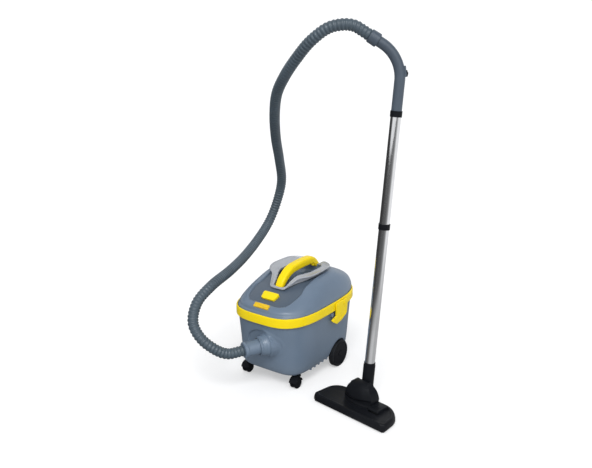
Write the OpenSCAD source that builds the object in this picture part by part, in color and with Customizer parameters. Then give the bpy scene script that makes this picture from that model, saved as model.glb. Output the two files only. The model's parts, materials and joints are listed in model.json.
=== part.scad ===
// Wheeled tub vacuum cleaner with a ribbed hose, a steel wand and a floor head.
// Every piece is drawn about the tub's centre, floor at z = 0, front (hose side) towards -Y.
// place() then moves the whole machine so that the origin is the bottom centre of its box.

/* [Tub] */
// Outside width of the yellow band
band_w = 301; // [291:1:311]
// Outside length of the yellow band
band_l = 435; // [420:1:450]
// Height of the tub's underside above the floor
underside_z = 43; // [41:1:46]
// Height of the tub's rim above the floor
rim_z = 244; // [238:1:256]
// Wall thickness of the moulded shells
wall = 3; // [2.5:0.5:3.5]

/* [Motor head] */
// Height of the yellow band
band_h = 32; // [28:1:36]
// Thickness of the deck that carries the motor
deck_t = 4; // [3:0.5:5]
// Height of the dome's crown above the deck
crown_h = 95; // [90:1:100]
// Depth of the hand well under the carry handle
well_depth = 42; // [36:1:44]
// Thickness of the carry handle's grip
grip_t = 28; // [24:1:30]
// Width of the carry handle's grip
grip_w = 30; // [24:1:34]
// Travel of the power button
button_travel = 3.5; // [2:0.5:4]
// Radius of the motor case
motor_r = 50; // [44:1:52]
// Radius of the impeller
impeller_r = 55; // [48:1:56]
// Radius of the cord gland's bore
gland_bore_r = 4; // [3:0.25:5]

/* [Latches] */
// Thickness of a latch
latch_t = 5; // [4:0.5:6]
// Radius of a latch pin
latch_pin_r = 3; // [2.5:0.25:4]

/* [Castors] */
// Radius of a castor wheel
castor_r = 18.5; // [17:0.5:19]
// Width of one castor wheel
castor_w = 9.5; // [7:0.5:11]
// Distance from the swivel axis to the wheel axis
castor_trail = 10; // [8:1:12]
// Distance between the two castor swivels
castor_track = 203; // [196:1:206]
// Radius of a castor stem
stem_r = 5.5; // [4.5:0.5:6]

/* [Rear wheels] */
// Radius of a rear wheel over its tyre
wheel_r = 47.5; // [44:0.5:50]
// Width of a rear wheel
wheel_w = 22; // [18:1:24]
// Width over the two rear wheels
wheel_track = 279; // [275:1:285]
// Radius of a stub axle
axle_r = 5; // [4:0.5:6]

/* [Hose] */
// Outer diameter of the hose over its ribs
hose_d = 36; // [34:1:38]
// Bore of the hose
hose_bore = 28; // [24:1:29]
// Number of ribs on the hose
hose_ribs = 190; // [100:1:200]
// Radius of the inlet's bore
inlet_bore_r = 21; // [20:0.5:22]

/* [Wand] */
// Outside radius of the steel tubes
tube_r = 16; // [15:0.5:17]
// Wall thickness of the steel tubes
tube_wall = 1; // [0.8:0.1:1.5]
// Visible length of the lower tube
lower_len = 432; // [380:1:520]
// Visible length of the upper tube
upper_len = 322; // [280:1:380]
// Length of a joint ring on the wand
ring_len = 18; // [14:1:24]
// Angle of the handle's bend
bend_angle = 62; // [50:1:70]
// Bend radius of the handle
bend_r = 115; // [105:1:130]
// Travel of the bleed slider
bleed_travel = 12; // [6:1:14]

/* [Floor head] */
// Width of the floor head
head_w = 292; // [270:1:310]
// Depth of the floor head
head_depth = 112; // [108:1:120]
// Height of the floor head's base
head_h = 28; // [26:1:30]
// Rearward lean of the wand over the floor head
wand_lean = 6.4; // [4:0.2:9]
// Height of the tilt axle above the floor
pivot_z = 40; // [39:1:42]
// Drop of the brush strips when the pedal is pressed
brush_drop = 3; // [2:0.5:4]
// Rock of the pedal
pedal_rock = 12; // [8:1:14]

/* [Hidden] */

gap = 0.3;            // gap between pieces that move past or rest on each other
run_fit = 0.05;       // radial clearance of a shaft that turns in a bore
seat_fit = 0.02;      // radial clearance of a pin that is held
sides = 48;           // sides of a moulded shell's rings

half_w = band_w / 2;
half_l = band_l / 2;
band_z = rim_z - 12;                  // bottom edge of the band
deck_z = rim_z + 4;                   // underside of the deck
deck_top = deck_z + deck_t;
band_wall = wall + 1;
dome_z = deck_top;                    // the dome's lower edge stands on the deck
motor_y = 20;                         // the motor stands on this axis
well_y = 12;                          // middle of the hand well
well_floor = dome_z + crown_h - well_depth;

body_grey = [0.36, 0.42, 0.48];
dark_grey = [0.2, 0.22, 0.24];
yellow = [0.98, 0.82, 0.05];
silver = [0.66, 0.68, 0.7];
steel = [0.75, 0.76, 0.78];
black = [0.08, 0.08, 0.09];
cloth = [0.86, 0.84, 0.78];

// ---------------------------------------------------------------- shared shapes

function sgn_pow(v, e) = sign(v) * pow(abs(v), e);

// One ring of a moulded shell: a rounded oblong of half width a and half length b
function oblong(a, b, n, z, y = 0, m = sides) = [for (i = [0:m - 1])
  let(t = 360 * (i + 0.5) / m)
  [a * sgn_pow(cos(t), 2 / n), y + b * sgn_pow(sin(t), 2 / n), z]];

// Two triangles for each side between ring k and ring l
function ring_faces(k, l, m) = [for (i = [0:m - 1])
  let(j = (i + 1) % m)
  each [[k * m + i, l * m + i, l * m + j], [k * m + i, l * m + j, k * m + j]]];

// A closed solid through a list of rings
module loft(rings) {
  m = len(rings[0]);
  last = len(rings) - 1;
  polyhedron(
    points = [for (r = rings) each r],
    faces = concat(
      [[for (i = [0:m - 1]) i]],
      [for (k = [0:last - 1]) each ring_faces(k, k + 1, m)],
      [[for (i = [m - 1:-1:0]) last * m + i]]),
    convexity = 10);
}

// A closed ring-shaped solid through a list of rings, the last joined to the first
module loft_loop(rings) {
  m = len(rings[0]);
  count = len(rings);
  polyhedron(
    points = [for (r = rings) each r],
    faces = [for (k = [0:count - 1]) each ring_faces(k, (k + 1) % count, m)],
    convexity = 10);
}

// A straight tube or plug along Z
module pipe(r, h, bore = 0, z = 0) {
  translate([0, 0, z]) difference() {
    cylinder(r = r, h = h, $fn = 64);
    if (bore > 0) translate([0, 0, -1]) cylinder(r = bore, h = h + 2, $fn = 64);
  }
}

// A plug along X, from x0 to x1
module x_pin(r, x0, x1) {
  translate([x0, 0, 0]) rotate([0, 90, 0]) cylinder(r = r, h = x1 - x0, $fn = 64);
}

// Right-hand piece, or its mirror image on the left
module side(s) {
  if (s > 0) children();
  else mirror([1, 0, 0]) children();
}

// ---------------------------------------------------------------- tub

// height share, inset from the band's half width and half length, squareness
tub_outline = [
  [0, 38.5, 60.5, 6], [0.03, 30, 44, 5], [0.09, 24.5, 35, 4.5],
  [0.25, 19, 27.5, 4], [0.6, 13, 17.5, 3.6], [0.94, 6.5, 7.5, 3.3], [1, 6, 7, 3.3]];
function tub_ring(row, inset, z) =
  oblong(half_w - row[1] - inset, half_l - row[2] - inset, row[3], z);
function tub_rings(inset, floor_z, top) = [for (row = tub_outline)
  tub_ring(row, inset, floor_z + row[0] * (top - floor_z))];

wheel_y = 75;
wheel_z = wheel_r;
wheel_out = wheel_track / 2;
wheel_in = wheel_out - wheel_w;
arch_r = wheel_r + 6.5;               // wheel arch in the tub
arch_in = wheel_in - 6;
axle_boss_r = axle_r + 7;

castor_x = castor_track / 2;
castor_y = -135.5;
stem_len = 16;

inlet_at = [15, -215, 157.5];         // mouth of the inlet boss
inlet_turn = 28;
inlet_dip = 3;
boss_r = inlet_bore_r + 13;
collar_z = 8;                         // the collar's back face, along the inlet
collar_t = 6;
module inlet_frame() {
  translate(inlet_at) rotate([90 + inlet_dip, 0, -inlet_turn]) children();
}

latch_y = 66;                         // latch pivot
latch_z = band_z + 14;
lug_y = 1;                            // centre of the tub's latch lug
lug_z = band_z - 10;
module latch_frame() {
  translate([0, latch_y, latch_z]) children();
}

module at_axle(s) {
  side(s) translate([0, wheel_y, wheel_z]) children();
}

module tub() color(body_grey) {
  difference() {
    union() {
      difference() {
        union() {
          loft(tub_rings(0, underside_z, rim_z));
          inlet_frame() rotate_extrude($fn = 64) polygon([
            [0, -46], [boss_r + 10, -46], [boss_r + 9, -14], [boss_r, collar_z - 5],
            [boss_r - 3, collar_z], [0, collar_z]]);
        }
        // The hollow, with the walls of the arches, sockets and spigot left standing
        difference() {
          loft(tub_rings(wall, underside_z + wall, rim_z + 1));
          for (s = [-1, 1]) at_axle(s) {
            x_pin(arch_r + wall, arch_in - wall, half_w);
            x_pin(axle_boss_r, arch_in - wall - 14, half_w);
          }
          for (s = [-1, 1]) translate([s * castor_x, castor_y, 0])
            cylinder(r = stem_r + 6, h = underside_z + stem_len + 5, $fn = 48);
          inlet_frame() translate([0, 0, -58]) cylinder(r = inlet_bore_r + 3, h = 60, $fn = 64);
        }
      }
      for (s = [-1, 1]) at_axle(s) x_pin(axle_boss_r, arch_in - wall - 14, arch_in);
      for (s = [-1, 1]) side(s) latch_lug();
      foot_ribs();
    }
    for (s = [-1, 1]) at_axle(s) {
      difference() {
        x_pin(arch_r, arch_in, half_w + 20);
        x_pin(axle_boss_r, arch_in - 1, arch_in + 0.01);
      }
      x_pin(axle_r + seat_fit, arch_in - wall - 11, half_w);
    }
    for (s = [-1, 1]) translate([s * castor_x, castor_y, underside_z - 5])
      cylinder(r = stem_r + run_fit, h = stem_len + 5, $fn = 48);
    inlet_frame() translate([0, 0, -70]) cylinder(r = inlet_bore_r, h = 90, $fn = 64);
    inlet_frame() translate([0, 0, collar_z - 3])
      cylinder(r = inlet_bore_r + 3, h = 10, $fn = 64);
  }
}

// Block on the tub's side that the latch closes over
module latch_lug() {
  translate([half_w - 12, lug_y - 5, lug_z - 6.5]) cube([latch_in - gap - half_w + 12, 10, 13]);
}

// Short ribs along the lower edge of both sides
module foot_ribs() {
  for (s = [-1, 1], i = [0:4])
    side(s) translate([half_w - 31, -88 + i * 24, underside_z + 1]) cube([6, 9, 9]);
}

module inlet_collar() color(body_grey) inlet_frame()
  pipe(boss_r - 3, collar_t, inlet_bore_r + 6.5, collar_z);

module inlet_seal() color(black) inlet_frame()
  pipe(inlet_bore_r + 2.9, 2.9, inlet_bore_r + 0.4, collar_z - 3);

// Cloth bag that lies in the tub, its mouth on the inlet's spigot
module dust_bag() color(cloth) {
  bag_z = underside_z + wall + gap;
  hull() {
    inlet_frame() translate([0, 0, -62]) cylinder(r = inlet_bore_r + 4, h = 2, $fn = 32);
    translate([30, -90, bag_z + 40]) cylinder(r = 32, h = 40, $fn = 32);
  }
  loft([
    oblong(84, 118, 3, bag_z, 5, 32),
    oblong(94, 134, 3, bag_z + 14, 2, 32),
    oblong(96, 138, 3, bag_z + 50, 0, 32),
    oblong(88, 128, 3, bag_z + 84, -6, 32),
    oblong(70, 100, 3, bag_z + 92, -10, 32)]);
}

module bag_collar() color([0.7, 0.55, 0.38]) inlet_frame()
  translate([0, 0, -58 - 2]) difference() {
    translate([-34, -34, 0]) cube([68, 68, 2]);
    translate([0, 0, -1]) cylinder(r = inlet_bore_r - 2, h = 4, $fn = 64);
  }

// ---------------------------------------------------------------- castors and wheels

castor_web = 6;                       // thickness of the castor's middle web
castor_top = underside_z - 0.5;
module at_castor(s) {
  translate([s * castor_x, castor_y, 0]) children();
}

module castor(s) color(black) at_castor(s) {
  hood_r = castor_r + 1;
  difference() {
    union() {
      translate([0, -castor_trail, castor_r]) {
        // Web between the wheels and the curved guard over them
        x_pin(castor_r - 3, -castor_web / 2, castor_web / 2);
        difference() {
          x_pin(hood_r + 2.2, -castor_web / 2 - castor_w - 1, castor_web / 2 + castor_w + 1);
          x_pin(hood_r, -30, 30);
          translate([-30, -30, -60]) cube([60, 60, 60 + 4]);
        }
        translate([-castor_web / 2, -8, 0]) cube([castor_web, 16, hood_r + 1]);
      }
      translate([0, 0, castor_r + 6])
        translate([-castor_web / 2, -castor_trail, 0])
          cube([castor_web, castor_trail + 8, castor_top - castor_r - 6]);
      translate([0, 0, castor_top - 3]) cylinder(r = 12, h = 3, $fn = 48);
      cylinder_from(stem_r, castor_top - 1, underside_z + stem_len - 0.5);
    }
    translate([0, -castor_trail, castor_r]) x_pin(axle_pin_r + run_fit, -30, 30);
  }
}
axle_pin_r = 3;
module cylinder_from(r, z0, z1) {
  translate([0, 0, z0]) cylinder(r = r, h = z1 - z0, $fn = 48);
}

module castor_wheels(s) color(black) at_castor(s) translate([0, -castor_trail, castor_r]) {
  inner = castor_web / 2 + 0.5;
  x_pin(axle_pin_r, -inner - 1, inner + 1);
  for (t = [-1, 1]) side(t) translate([inner, 0, 0]) rotate([0, 90, 0])
    rotate_extrude($fn = 64) polygon([
      [0, 0], [castor_r - 1.2, 0], [castor_r, 1.2], [castor_r, castor_w - 2.5],
      [castor_r - 2.5, castor_w], [castor_r - 6, castor_w], [castor_r - 7, castor_w - 1],
      [0, castor_w - 1]]);
}

axle_head_t = 2;
axle_head_x = wheel_out - 3.2;        // outer end of the wheel's hub
module axle(s) color(steel) at_axle(s) {
  x_pin(axle_r, arch_in - wall - 10.5, axle_head_x + 0.5);
  x_pin(axle_r + 3.5, arch_in + gap, wheel_in - gap);
  x_pin(axle_r + 4, axle_head_x + gap, axle_head_x + gap + axle_head_t);
}

tyre_t = 4;
hub_r = axle_r + 8;
module wheel(s) color(black) at_axle(s) translate([wheel_in, 0, 0]) rotate([0, 90, 0]) {
  rim = wheel_r - tyre_t;
  hub_len = axle_head_x - wheel_in;
  rotate_extrude($fn = 96) polygon([
    [axle_r + run_fit, 0], [hub_r, 0], [hub_r, wheel_w - 8], [rim - 5, wheel_w - 8],
    [rim - 5, 1], [rim, 1], [rim, wheel_w - 1], [rim - 2, wheel_w],
    [rim - 4, wheel_w - 2], [axle_r + 6, wheel_w - 2], [axle_r + 6, hub_len],
    [axle_r + run_fit, hub_len]]);
}

module tyre(s) color(black) at_axle(s) translate([wheel_in, 0, 0]) rotate([0, 90, 0]) {
  rim = wheel_r - tyre_t;
  rotate_extrude($fn = 96) polygon([
    [rim, 1], [wheel_r - 1.5, 1], [wheel_r, 2.5], [wheel_r, wheel_w - 3],
    [wheel_r - 2, wheel_w - 1], [rim, wheel_w - 1]]);
}

// ---------------------------------------------------------------- motor head

band_top = band_z + band_h;
function band_ring(inset, z) = oblong(half_w - inset, half_l - inset, 3.3, z);
module band() color(yellow) difference() {
  loft_loop([
    band_ring(1.5, band_z), band_ring(0, band_z + 2), band_ring(0, band_top - 3),
    band_ring(1.6, band_top), band_ring(band_wall, band_top), band_ring(band_wall, band_z)]);
  for (s = [-1, 1]) side(s) latch_frame() x_pin(latch_pin_r + seat_fit, half_w - 20, half_w + 5);
}

module deck() color(dark_grey) difference() {
  loft([
    oblong(half_w - band_wall - gap, half_l - band_wall - gap, 3.3, deck_z),
    oblong(half_w - band_wall - gap, half_l - band_wall - gap, 3.3, deck_top)]);
  translate([0, motor_y, deck_z - 1]) cylinder(r = fan_r + gap, h = deck_t + 2, $fn = 96);
}

module gasket() color(black) {
  outer = 6.5;
  loft_loop([
    oblong(half_w - outer, half_l - outer - 1, 3.3, rim_z + gap),
    oblong(half_w - outer, half_l - outer - 1, 3.3, deck_z),
    oblong(half_w - outer - 4, half_l - outer - 5, 3.3, deck_z),
    oblong(half_w - outer - 4, half_l - outer - 5, 3.3, rim_z + gap)]);
}

// height share, inset in width, inset in length, squareness, shift to the rear
dome_outline = [
  [0, 5.2, 5.4, 3.3, 0], [0.13, 5.2, 6, 3.3, 0.4], [0.19, 5.4, 8.5, 3.3, 4],
  [0.316, 10.3, 11.5, 3.2, 9], [0.505, 16.7, 34.2, 3.2, 20], [0.674, 22.5, 65.5, 3.2, 29],
  [0.863, 31.5, 115.5, 3.3, 36], [0.97, 45.5, 139.5, 2.8, 43], [1, 66, 160, 2.6, 43]];
function dome_ring(row, inset, z) =
  oblong(half_w - row[1] - inset, half_l - row[2] - inset, row[3], z, row[4]);
function dome_z_at(share) = dome_z + share * crown_h;
dome_rings = [for (row = dome_outline) dome_ring(row, 0, dome_z_at(row[0]))];
dome_hollow = [for (row = dome_outline)
  dome_ring(row, wall, row[0] == 0 ? dome_z - 1 : dome_z_at(row[0]) - wall)];

// The front slope: a plane through the middle of the power button
slope_at = [0, -151, dome_z + 56];
slope_tilt = 27;
module slope_frame() {
  translate(slope_at) rotate([slope_tilt, 0, 0]) children();
}
// Outline of the power button, grown by a clearance
module button_outline(g) {
  polygon([
    [-31 - g, 13], [-29, 15 + g], [29, 15 + g], [31 + g, 13], [24 + g, -12], [21, -14 - g],
    [-21, -14 - g], [-24 - g, -12]]);
}

gland_x = -72;
gland_y = half_l - 15;
gland_z = dome_z + 24;
grille_y = half_l - 8;
grille_z = dome_z + 32;

// The well's outline runs under the middle of the silver frame
function well_ring(share, grow, z) = [for (r = mirrored(frame_rows))
  let(p = 0.6 * [r[3], r[4]] + 0.4 * [r[0], r[1]], c = [0, well_y], d = p - c,
      q = c + share * d + grow * d / norm(d))
  [q[0], q[1], z]];
module hand_well(grow, top) {
  loft([
    well_ring(0.72, grow, well_floor - grow), well_ring(0.86, grow, well_floor - grow + 4),
    well_ring(0.93, grow, well_floor + 16), well_ring(1, grow, top)]);
}

module dome() color(body_grey) difference() {
  loft(dome_rings);
  difference() {
    loft(dome_hollow);
    hand_well(wall, dome_z + crown_h + 5);
  }
  hand_well(0, dome_z + crown_h + 20);
  slope_frame() translate([0, 0, -25]) linear_extrude(40) button_outline(gap + 0.2);
  translate([gland_x, gland_y - 20, gland_z]) rotate([-90, 0, 0])
    cylinder(r = gland_r + seat_fit, h = 60, $fn = 48);
  translate([-grille_w / 2 - gap, grille_y - 20, grille_z - grille_h / 2 - gap])
    cube([grille_w + 2 * gap, 60, grille_h + 2 * gap]);
}

// Dished silver frame round the handle. Each row: outer x, y, z and inner x, y, z
frame_rows = [
  [0, -109, 323, 0, -93, 323], [26, -108, 324, 15, -91, 324],
  [33, -102, 330, 20, -82, 327], [42, -86, 341, 26, -68, 332],
  [54, -66, 354, 35, -48, 339], [70, -55, 360, 43, -22, 345], [83, -40, 362, 46, 0, 348],
  [90, -10, 363, 47, 15, 349], [90, 30, 363, 47, 40, 349], [86, 72, 362, 46, 64, 349],
  [76, 90, 362, 43, 82, 349], [54, 106, 361, 32, 97, 349], [30, 117, 359, 18, 108, 348],
  [0, 121, 358, 0, 111, 348]];
frame_t = 5;
frame_lift = dome_z + crown_h - 347;  // the rows are drawn over a crown 347 mm up
function mirrored(rows) = concat(rows, [for (i = [len(rows) - 2:-1:1])
  [-rows[i][0], rows[i][1], rows[i][2], -rows[i][3], rows[i][4], rows[i][5]]]);
function frame_loop(rows, k, drop) = [for (r = rows) [r[k], r[k + 1], r[k + 2] + frame_lift - drop]];

// The foot under the frame stands on the dome, so the dome's shape is taken off it
module handle_frame() color(silver) difference() {
  rows = mirrored(frame_rows);
  union() {
    loft_loop([
      frame_loop(rows, 0, 0), frame_loop(rows, 3, 0),
      frame_loop(rows, 3, frame_t + 1), frame_loop(rows, 0, frame_t)]);
    loft_loop([
      foot_loop(rows, 0.6, 30), foot_loop(rows, 0.6, 2), foot_loop(rows, 0.44, 2),
      foot_loop(rows, 0.44, 30)]);
  }
  loft(dome_rings);
}
function foot_loop(rows, t, drop) = [for (r = rows)
  let(o = [r[0], r[1], r[2]], i = [r[3], r[4], r[5]], p = i + t * (o - i))
  [p[0], p[1], p[2] + frame_lift - drop]];

// Middle line of the carry handle: y, height over the crown, share of full thickness
grip_line = [
  [-72, -well_depth, 0.7], [-80, -30, 0.7], [-82, -17, 0.75], [-75, -2, 0.85],
  [-58, 12, 0.95], [-36, 20, 1], [-8, 22.5, 1], [30, 23, 1], [66, 22, 1], [86, 18, 0.96],
  [95, 8, 0.88], [97, -6, 0.8], [94, -20, 0.75], [84, -well_depth, 0.7]];
function grip_point(i) = [0, grip_line[i][0], dome_z + crown_h + grip_line[i][1]];
function grip_ring(i) =
  let(last = len(grip_line) - 1,
      along = grip_point(min(i + 1, last)) - grip_point(max(i - 1, 0)),
      a = atan2(along[2], along[1]),
      t = grip_t / 2 * grip_line[i][2],
      w = grip_w / 2 * (0.5 + grip_line[i][2] / 2))
  [for (k = [0:15])
    let(q = 360 * (k + 0.5) / 16, u = w * sgn_pow(cos(q), 0.7), v = t * sgn_pow(sin(q), 0.7))
    grip_point(i) + [u, -v * sin(a), v * cos(a)]];

// Both feet end on the walls of the hand well
module carry_handle() color(yellow) difference() {
  loft([for (i = [len(grip_line) - 1:-1:0]) grip_ring(i)]);
  difference() {
    loft(dome_rings);
    hand_well(0, dome_z + crown_h + 20);
  }
}

button_t = 10;
module power_button() color(yellow) slope_frame() {
  translate([0, 0, -button_t + 2]) linear_extrude(button_t) button_outline(0);
  translate([0, 0, -button_t - 4]) cylinder(r = 4, h = 8, $fn = 32);
}

module switch_box() color(black) {
  slope_frame()
    translate([-20, -12, -button_t - 4 - button_travel - gap - 14]) cube([40, 24, 14]);
  translate([-14, slope_at[1] + 2, deck_top]) cube([28, 14, 34]);
}

module name_plate() color(yellow) difference() {
  translate([0, -194, dome_z + 34]) rotate([31, 0, 0])
    translate([-29, -8.5, -6]) cube([58, 17, 8]);
  loft(dome_rings);
}

fan_r = impeller_r + 5;
fan_z = deck_z - 46;
fan_h = 44;
module fan_housing() color(dark_grey) translate([0, motor_y, 0]) difference() {
  union() {
    cylinder_from(fan_r, fan_z, deck_top + 3);
    cylinder_from(fan_r + 9, deck_top + gap, deck_top + 3);
  }
  cylinder_from(fan_r - 3, fan_z + 3, fan_z + fan_h);
  cylinder_from(motor_r + gap, fan_z + fan_h - 1, deck_top + 10);
  cylinder_from(20, fan_z - 1, fan_z + 5);
}

motor_top = well_floor - wall - 2;
shaft_r = 4;
module motor_case() color(steel) translate([0, motor_y, 0]) difference() {
  cylinder_from(motor_r, fan_z + fan_h - 8, motor_top);
  cylinder_from(motor_r - 4, fan_z + fan_h - 4, motor_top - 4);
  cylinder_from(shaft_r + run_fit, fan_z, motor_top - 4);
}

module motor_seal() color(black) translate([0, motor_y, 0])
  pipe(motor_r + 6, 3, motor_r + gap, deck_top + 3);

module impeller() color(steel) translate([0, motor_y, 0]) {
  cylinder_from(shaft_r, fan_z + 8, motor_top - 5);
  cylinder_from(impeller_r, fan_z + 6, fan_z + 8);
  for (i = [0:7]) rotate([0, 0, i * 45])
    translate([12, -1, fan_z + 7]) cube([impeller_r - 14, 2, 15]);
  cylinder_from(14, fan_z + 8, fan_z + 20);
  cylinder_from(24, fan_z + fan_h + 4, motor_top - 12);
}

cage_r = fan_r + 14;
cage_z = deck_z - 94;
module filter_cage() color(dark_grey) translate([0, motor_y, 0]) {
  pipe(cage_r, 6, fan_r + 10, deck_z - 6);
  pipe(cage_r, 4, 0, cage_z);
  for (i = [0:7]) rotate([0, 0, 22.5 + i * 45])
    translate([cage_r - 4, -4, cage_z + 2]) cube([4, 8, deck_z - cage_z - 4]);
}

module cloth_filter() color(cloth) translate([0, motor_y, 0]) difference() {
  cylinder_from(cage_r + 4, cage_z - 4, deck_z - gap);
  cylinder_from(cage_r + gap, cage_z - gap, deck_z + 5);
}

grille_w = 96;
grille_h = 26;
module exhaust_grille() color(dark_grey) translate([0, grille_y, grille_z]) difference() {
  translate([-grille_w / 2, -16, -grille_h / 2]) cube([grille_w, 12, grille_h]);
  for (i = [0:2])
    translate([-grille_w / 2 + 6, -30, -grille_h / 2 + 4 + i * 7]) cube([grille_w - 12, 40, 4]);
}

gland_r = 8;
gland_len = 18;                       // from the gland's seat in the dome to its tip
module cord_gland() color(black) translate([gland_x, gland_y, gland_z]) rotate([-90, 0, 0])
  difference() {
    union() {
      translate([0, 0, -8]) cylinder(r = gland_r, h = 16, $fn = 48);
      translate([0, 0, 8]) cylinder(r = gland_r - 1.5, h = gland_len - 8, $fn = 48);
    }
    translate([0, 0, -9]) cylinder(r = gland_bore_r, h = 30, $fn = 48);
  }

// ---------------------------------------------------------------- latches

latch_in = half_w + 1.3;
pin_head_t = 1.7;
// Outline of the latch about its pivot, in the (y, z) plane
latch_shape = [
  [-50, 10], [-46, 14], [16, 14], [22, 8], [18, -38], [12, -43], [-16, -57], [-48, -61],
  [-76, -42], [-74, -34], [-50, -31]];
module latch(s) color(yellow) side(s) latch_frame() difference() {
  translate([latch_in, 0, 0]) rotate([90, 0, 90]) linear_extrude(latch_t)
    polygon([for (i = [len(latch_shape) - 1:-1:0]) latch_shape[i]]);
  x_pin(latch_pin_r + run_fit, latch_in - 1, latch_in + latch_t + 1);
}

module latch_pin(s) color(steel) side(s) latch_frame() {
  x_pin(latch_pin_r, half_w - band_wall + 0.2, latch_in + latch_t + 0.5);
  x_pin(latch_pin_r + 2, latch_in + latch_t + gap, latch_in + latch_t + gap + pin_head_t);
  x_pin(latch_pin_r + 2.5, half_w + gap / 2, latch_in - gap);
}

// ---------------------------------------------------------------- floor head and wand frames

head_at = [339.8, -209.2, 0];         // middle of the floor head's front edge
head_turn = 9.1;
pivot_v = 97;                         // tilt axle behind the front edge
module head_frame() {
  translate(head_at) rotate([0, 0, -head_turn]) children();
}
module wand_frame() {
  head_frame() translate([0, pivot_v, pivot_z]) rotate([-wand_lean, 0, 0]) children();
}

neck_start = 36;                      // all along the wand, from the tilt axle
neck_len = 75;
neck_end = neck_start + neck_len;
lower_end = neck_end + lower_len;
upper_start = lower_end + ring_len;
upper_end = upper_start + upper_len;
handle_start = upper_end + ring_len;
straight_len = 86;
bend_start = handle_start + straight_len;
socket_len = 14;
bend_turn = 224.4;                    // direction of the handle's bend about the wand
handle_bore = tube_r - 4;
tube_seat = 12;                       // how far a tube reaches into a ring

// Frame of the handle's end: z along the last straight, x in the plane of the bend
module handle_end_frame() {
  wand_frame() rotate([0, 0, bend_turn]) translate([bend_r, 0, bend_start])
    rotate([0, bend_angle, 0]) translate([-bend_r, 0, socket_len]) children();
}

// ---------------------------------------------------------------- hose

cuff_r = 26;
cuff_len = 58;                        // tub cuff, outside the collar
cuff_start = collar_z + gap;
cuff_end = cuff_start + cuff_len;
wand_cuff_len = 30;
hose_r = hose_d / 2;

module hose_cuff_tub() color(body_grey) inlet_frame() rotate_extrude($fn = 96) polygon([
  [hose_bore / 2, -20], [inlet_bore_r - run_fit, -20], [inlet_bore_r - run_fit, collar_z - 3.5],
  [inlet_bore_r - 0.8, collar_z - 3.3], [inlet_bore_r - 0.8, cuff_start], [cuff_r, cuff_start],
  [cuff_r - 1, cuff_end - 14], [cuff_r + 1, cuff_end - 10], [cuff_r + 1, cuff_end - 2],
  [cuff_r - 1, cuff_end], [hose_bore / 2, cuff_end]]);

module hose_cuff_wand() color(body_grey) handle_end_frame() rotate_extrude($fn = 96) polygon([
  [handle_bore - 2, -12], [handle_bore - run_fit, -12], [handle_bore - run_fit, gap],
  [tube_r + 4, gap], [tube_r + 5, 2.5], [tube_r + 4.5, wand_cuff_len - 3],
  [tube_r + 3, wand_cuff_len], [hose_bore / 2, wand_cuff_len],
  [hose_bore / 2, wand_cuff_len - 12], [handle_bore - 2, wand_cuff_len - 16]]);

// Directions and points of the two ends, so that the hose starts square to its cuffs
function rot_x(v, a) = [v[0], v[1] * cos(a) - v[2] * sin(a), v[1] * sin(a) + v[2] * cos(a)];
function rot_y(v, a) = [v[0] * cos(a) + v[2] * sin(a), v[1], -v[0] * sin(a) + v[2] * cos(a)];
function rot_z(v, a) = [v[0] * cos(a) - v[1] * sin(a), v[0] * sin(a) + v[1] * cos(a), v[2]];
function in_inlet(v) = rot_z(rot_x(v, 90 + inlet_dip), -inlet_turn);
function in_wand(v) = rot_z(rot_x(rot_z(v, bend_turn), -wand_lean), -head_turn);
pivot_at = head_at + rot_z([0, pivot_v, pivot_z], -head_turn);
tub_end = inlet_at + in_inlet([0, 0, cuff_end]);
tub_dir = in_inlet([0, 0, 1]);
wand_dir = in_wand(rot_y([0, 0, 1], bend_angle));
wand_end = pivot_at + in_wand([bend_r, 0, bend_start]
  + rot_y([-bend_r, 0, socket_len + wand_cuff_len], bend_angle));

// The hose's route between its two straight ends
route = [
  [-85, -365, 190], [-140, -370, 245], [-165, -325, 300], [-170, -245, 335],
  [-210, -105, 335], [-270, 50, 330], [-315, 190, 350], [-335, 290, 395], [-325, 330, 470],
  [-295, 320, 560], [-250, 245, 665], [-190, 145, 765], [-120, 45, 865], [-55, -30, 950],
  [15, -85, 1015], [80, -115, 1075], [145, -125, 1135], [205, -105, 1175]];
path = concat([tub_end, tub_end + hose_d * tub_dir], route,
  [wand_end + hose_d * wand_dir, wand_end]);

// Smooth curve through the path; the two end spans stay straight
function unit(v) = v / norm(v);
last_point = len(path) - 1;
function tangent(i) =
  i <= 1 ? 1.1 * tub_dir * norm(path[2] - path[1])
  : i >= last_point - 1 ? -1.1 * wand_dir * norm(path[last_point - 1] - path[last_point - 2])
  : (path[i + 1] - path[i - 1]) / 2;
function on_span(i, t) =
  i == 0 || i == last_point - 1 ? path[i] + (path[i + 1] - path[i]) * t
  : (2 * pow(t, 3) - 3 * t * t + 1) * path[i] + (pow(t, 3) - 2 * t * t + t) * tangent(i)
    + (3 * t * t - 2 * pow(t, 3)) * path[i + 1] + (pow(t, 3) - t * t) * tangent(i + 1);
samples = 12;
curve = [for (i = [0:last_point - 1], k = [0:samples - 1]) on_span(i, k / samples)];
line = concat(curve, [path[last_point]]);
steps = [for (i = [1:len(line) - 1]) norm(line[i] - line[i - 1])];
function running(v, i = 0, sum = 0, out = [0]) =
  i == len(v) ? out : running(v, i + 1, sum + v[i], concat(out, [sum + v[i]]));
reach = running(steps);
hose_len = reach[len(reach) - 1];
function find(s, lo, hi) =
  hi - lo <= 1 ? lo
  : let(mid = floor((lo + hi) / 2)) reach[mid] <= s ? find(s, mid, hi) : find(s, lo, mid);
function at(s) =
  let(i = find(min(s, hose_len - 0.001), 0, len(reach) - 1),
      t = (s - reach[i]) / (reach[i + 1] - reach[i]))
  line[i] + (line[i + 1] - line[i]) * t;
function heading(s) =
  s <= 1 ? tub_dir : s >= hose_len - 1 ? -wand_dir
  : unit(at(min(s + 4, hose_len)) - at(max(s - 4, 0)));
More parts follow.
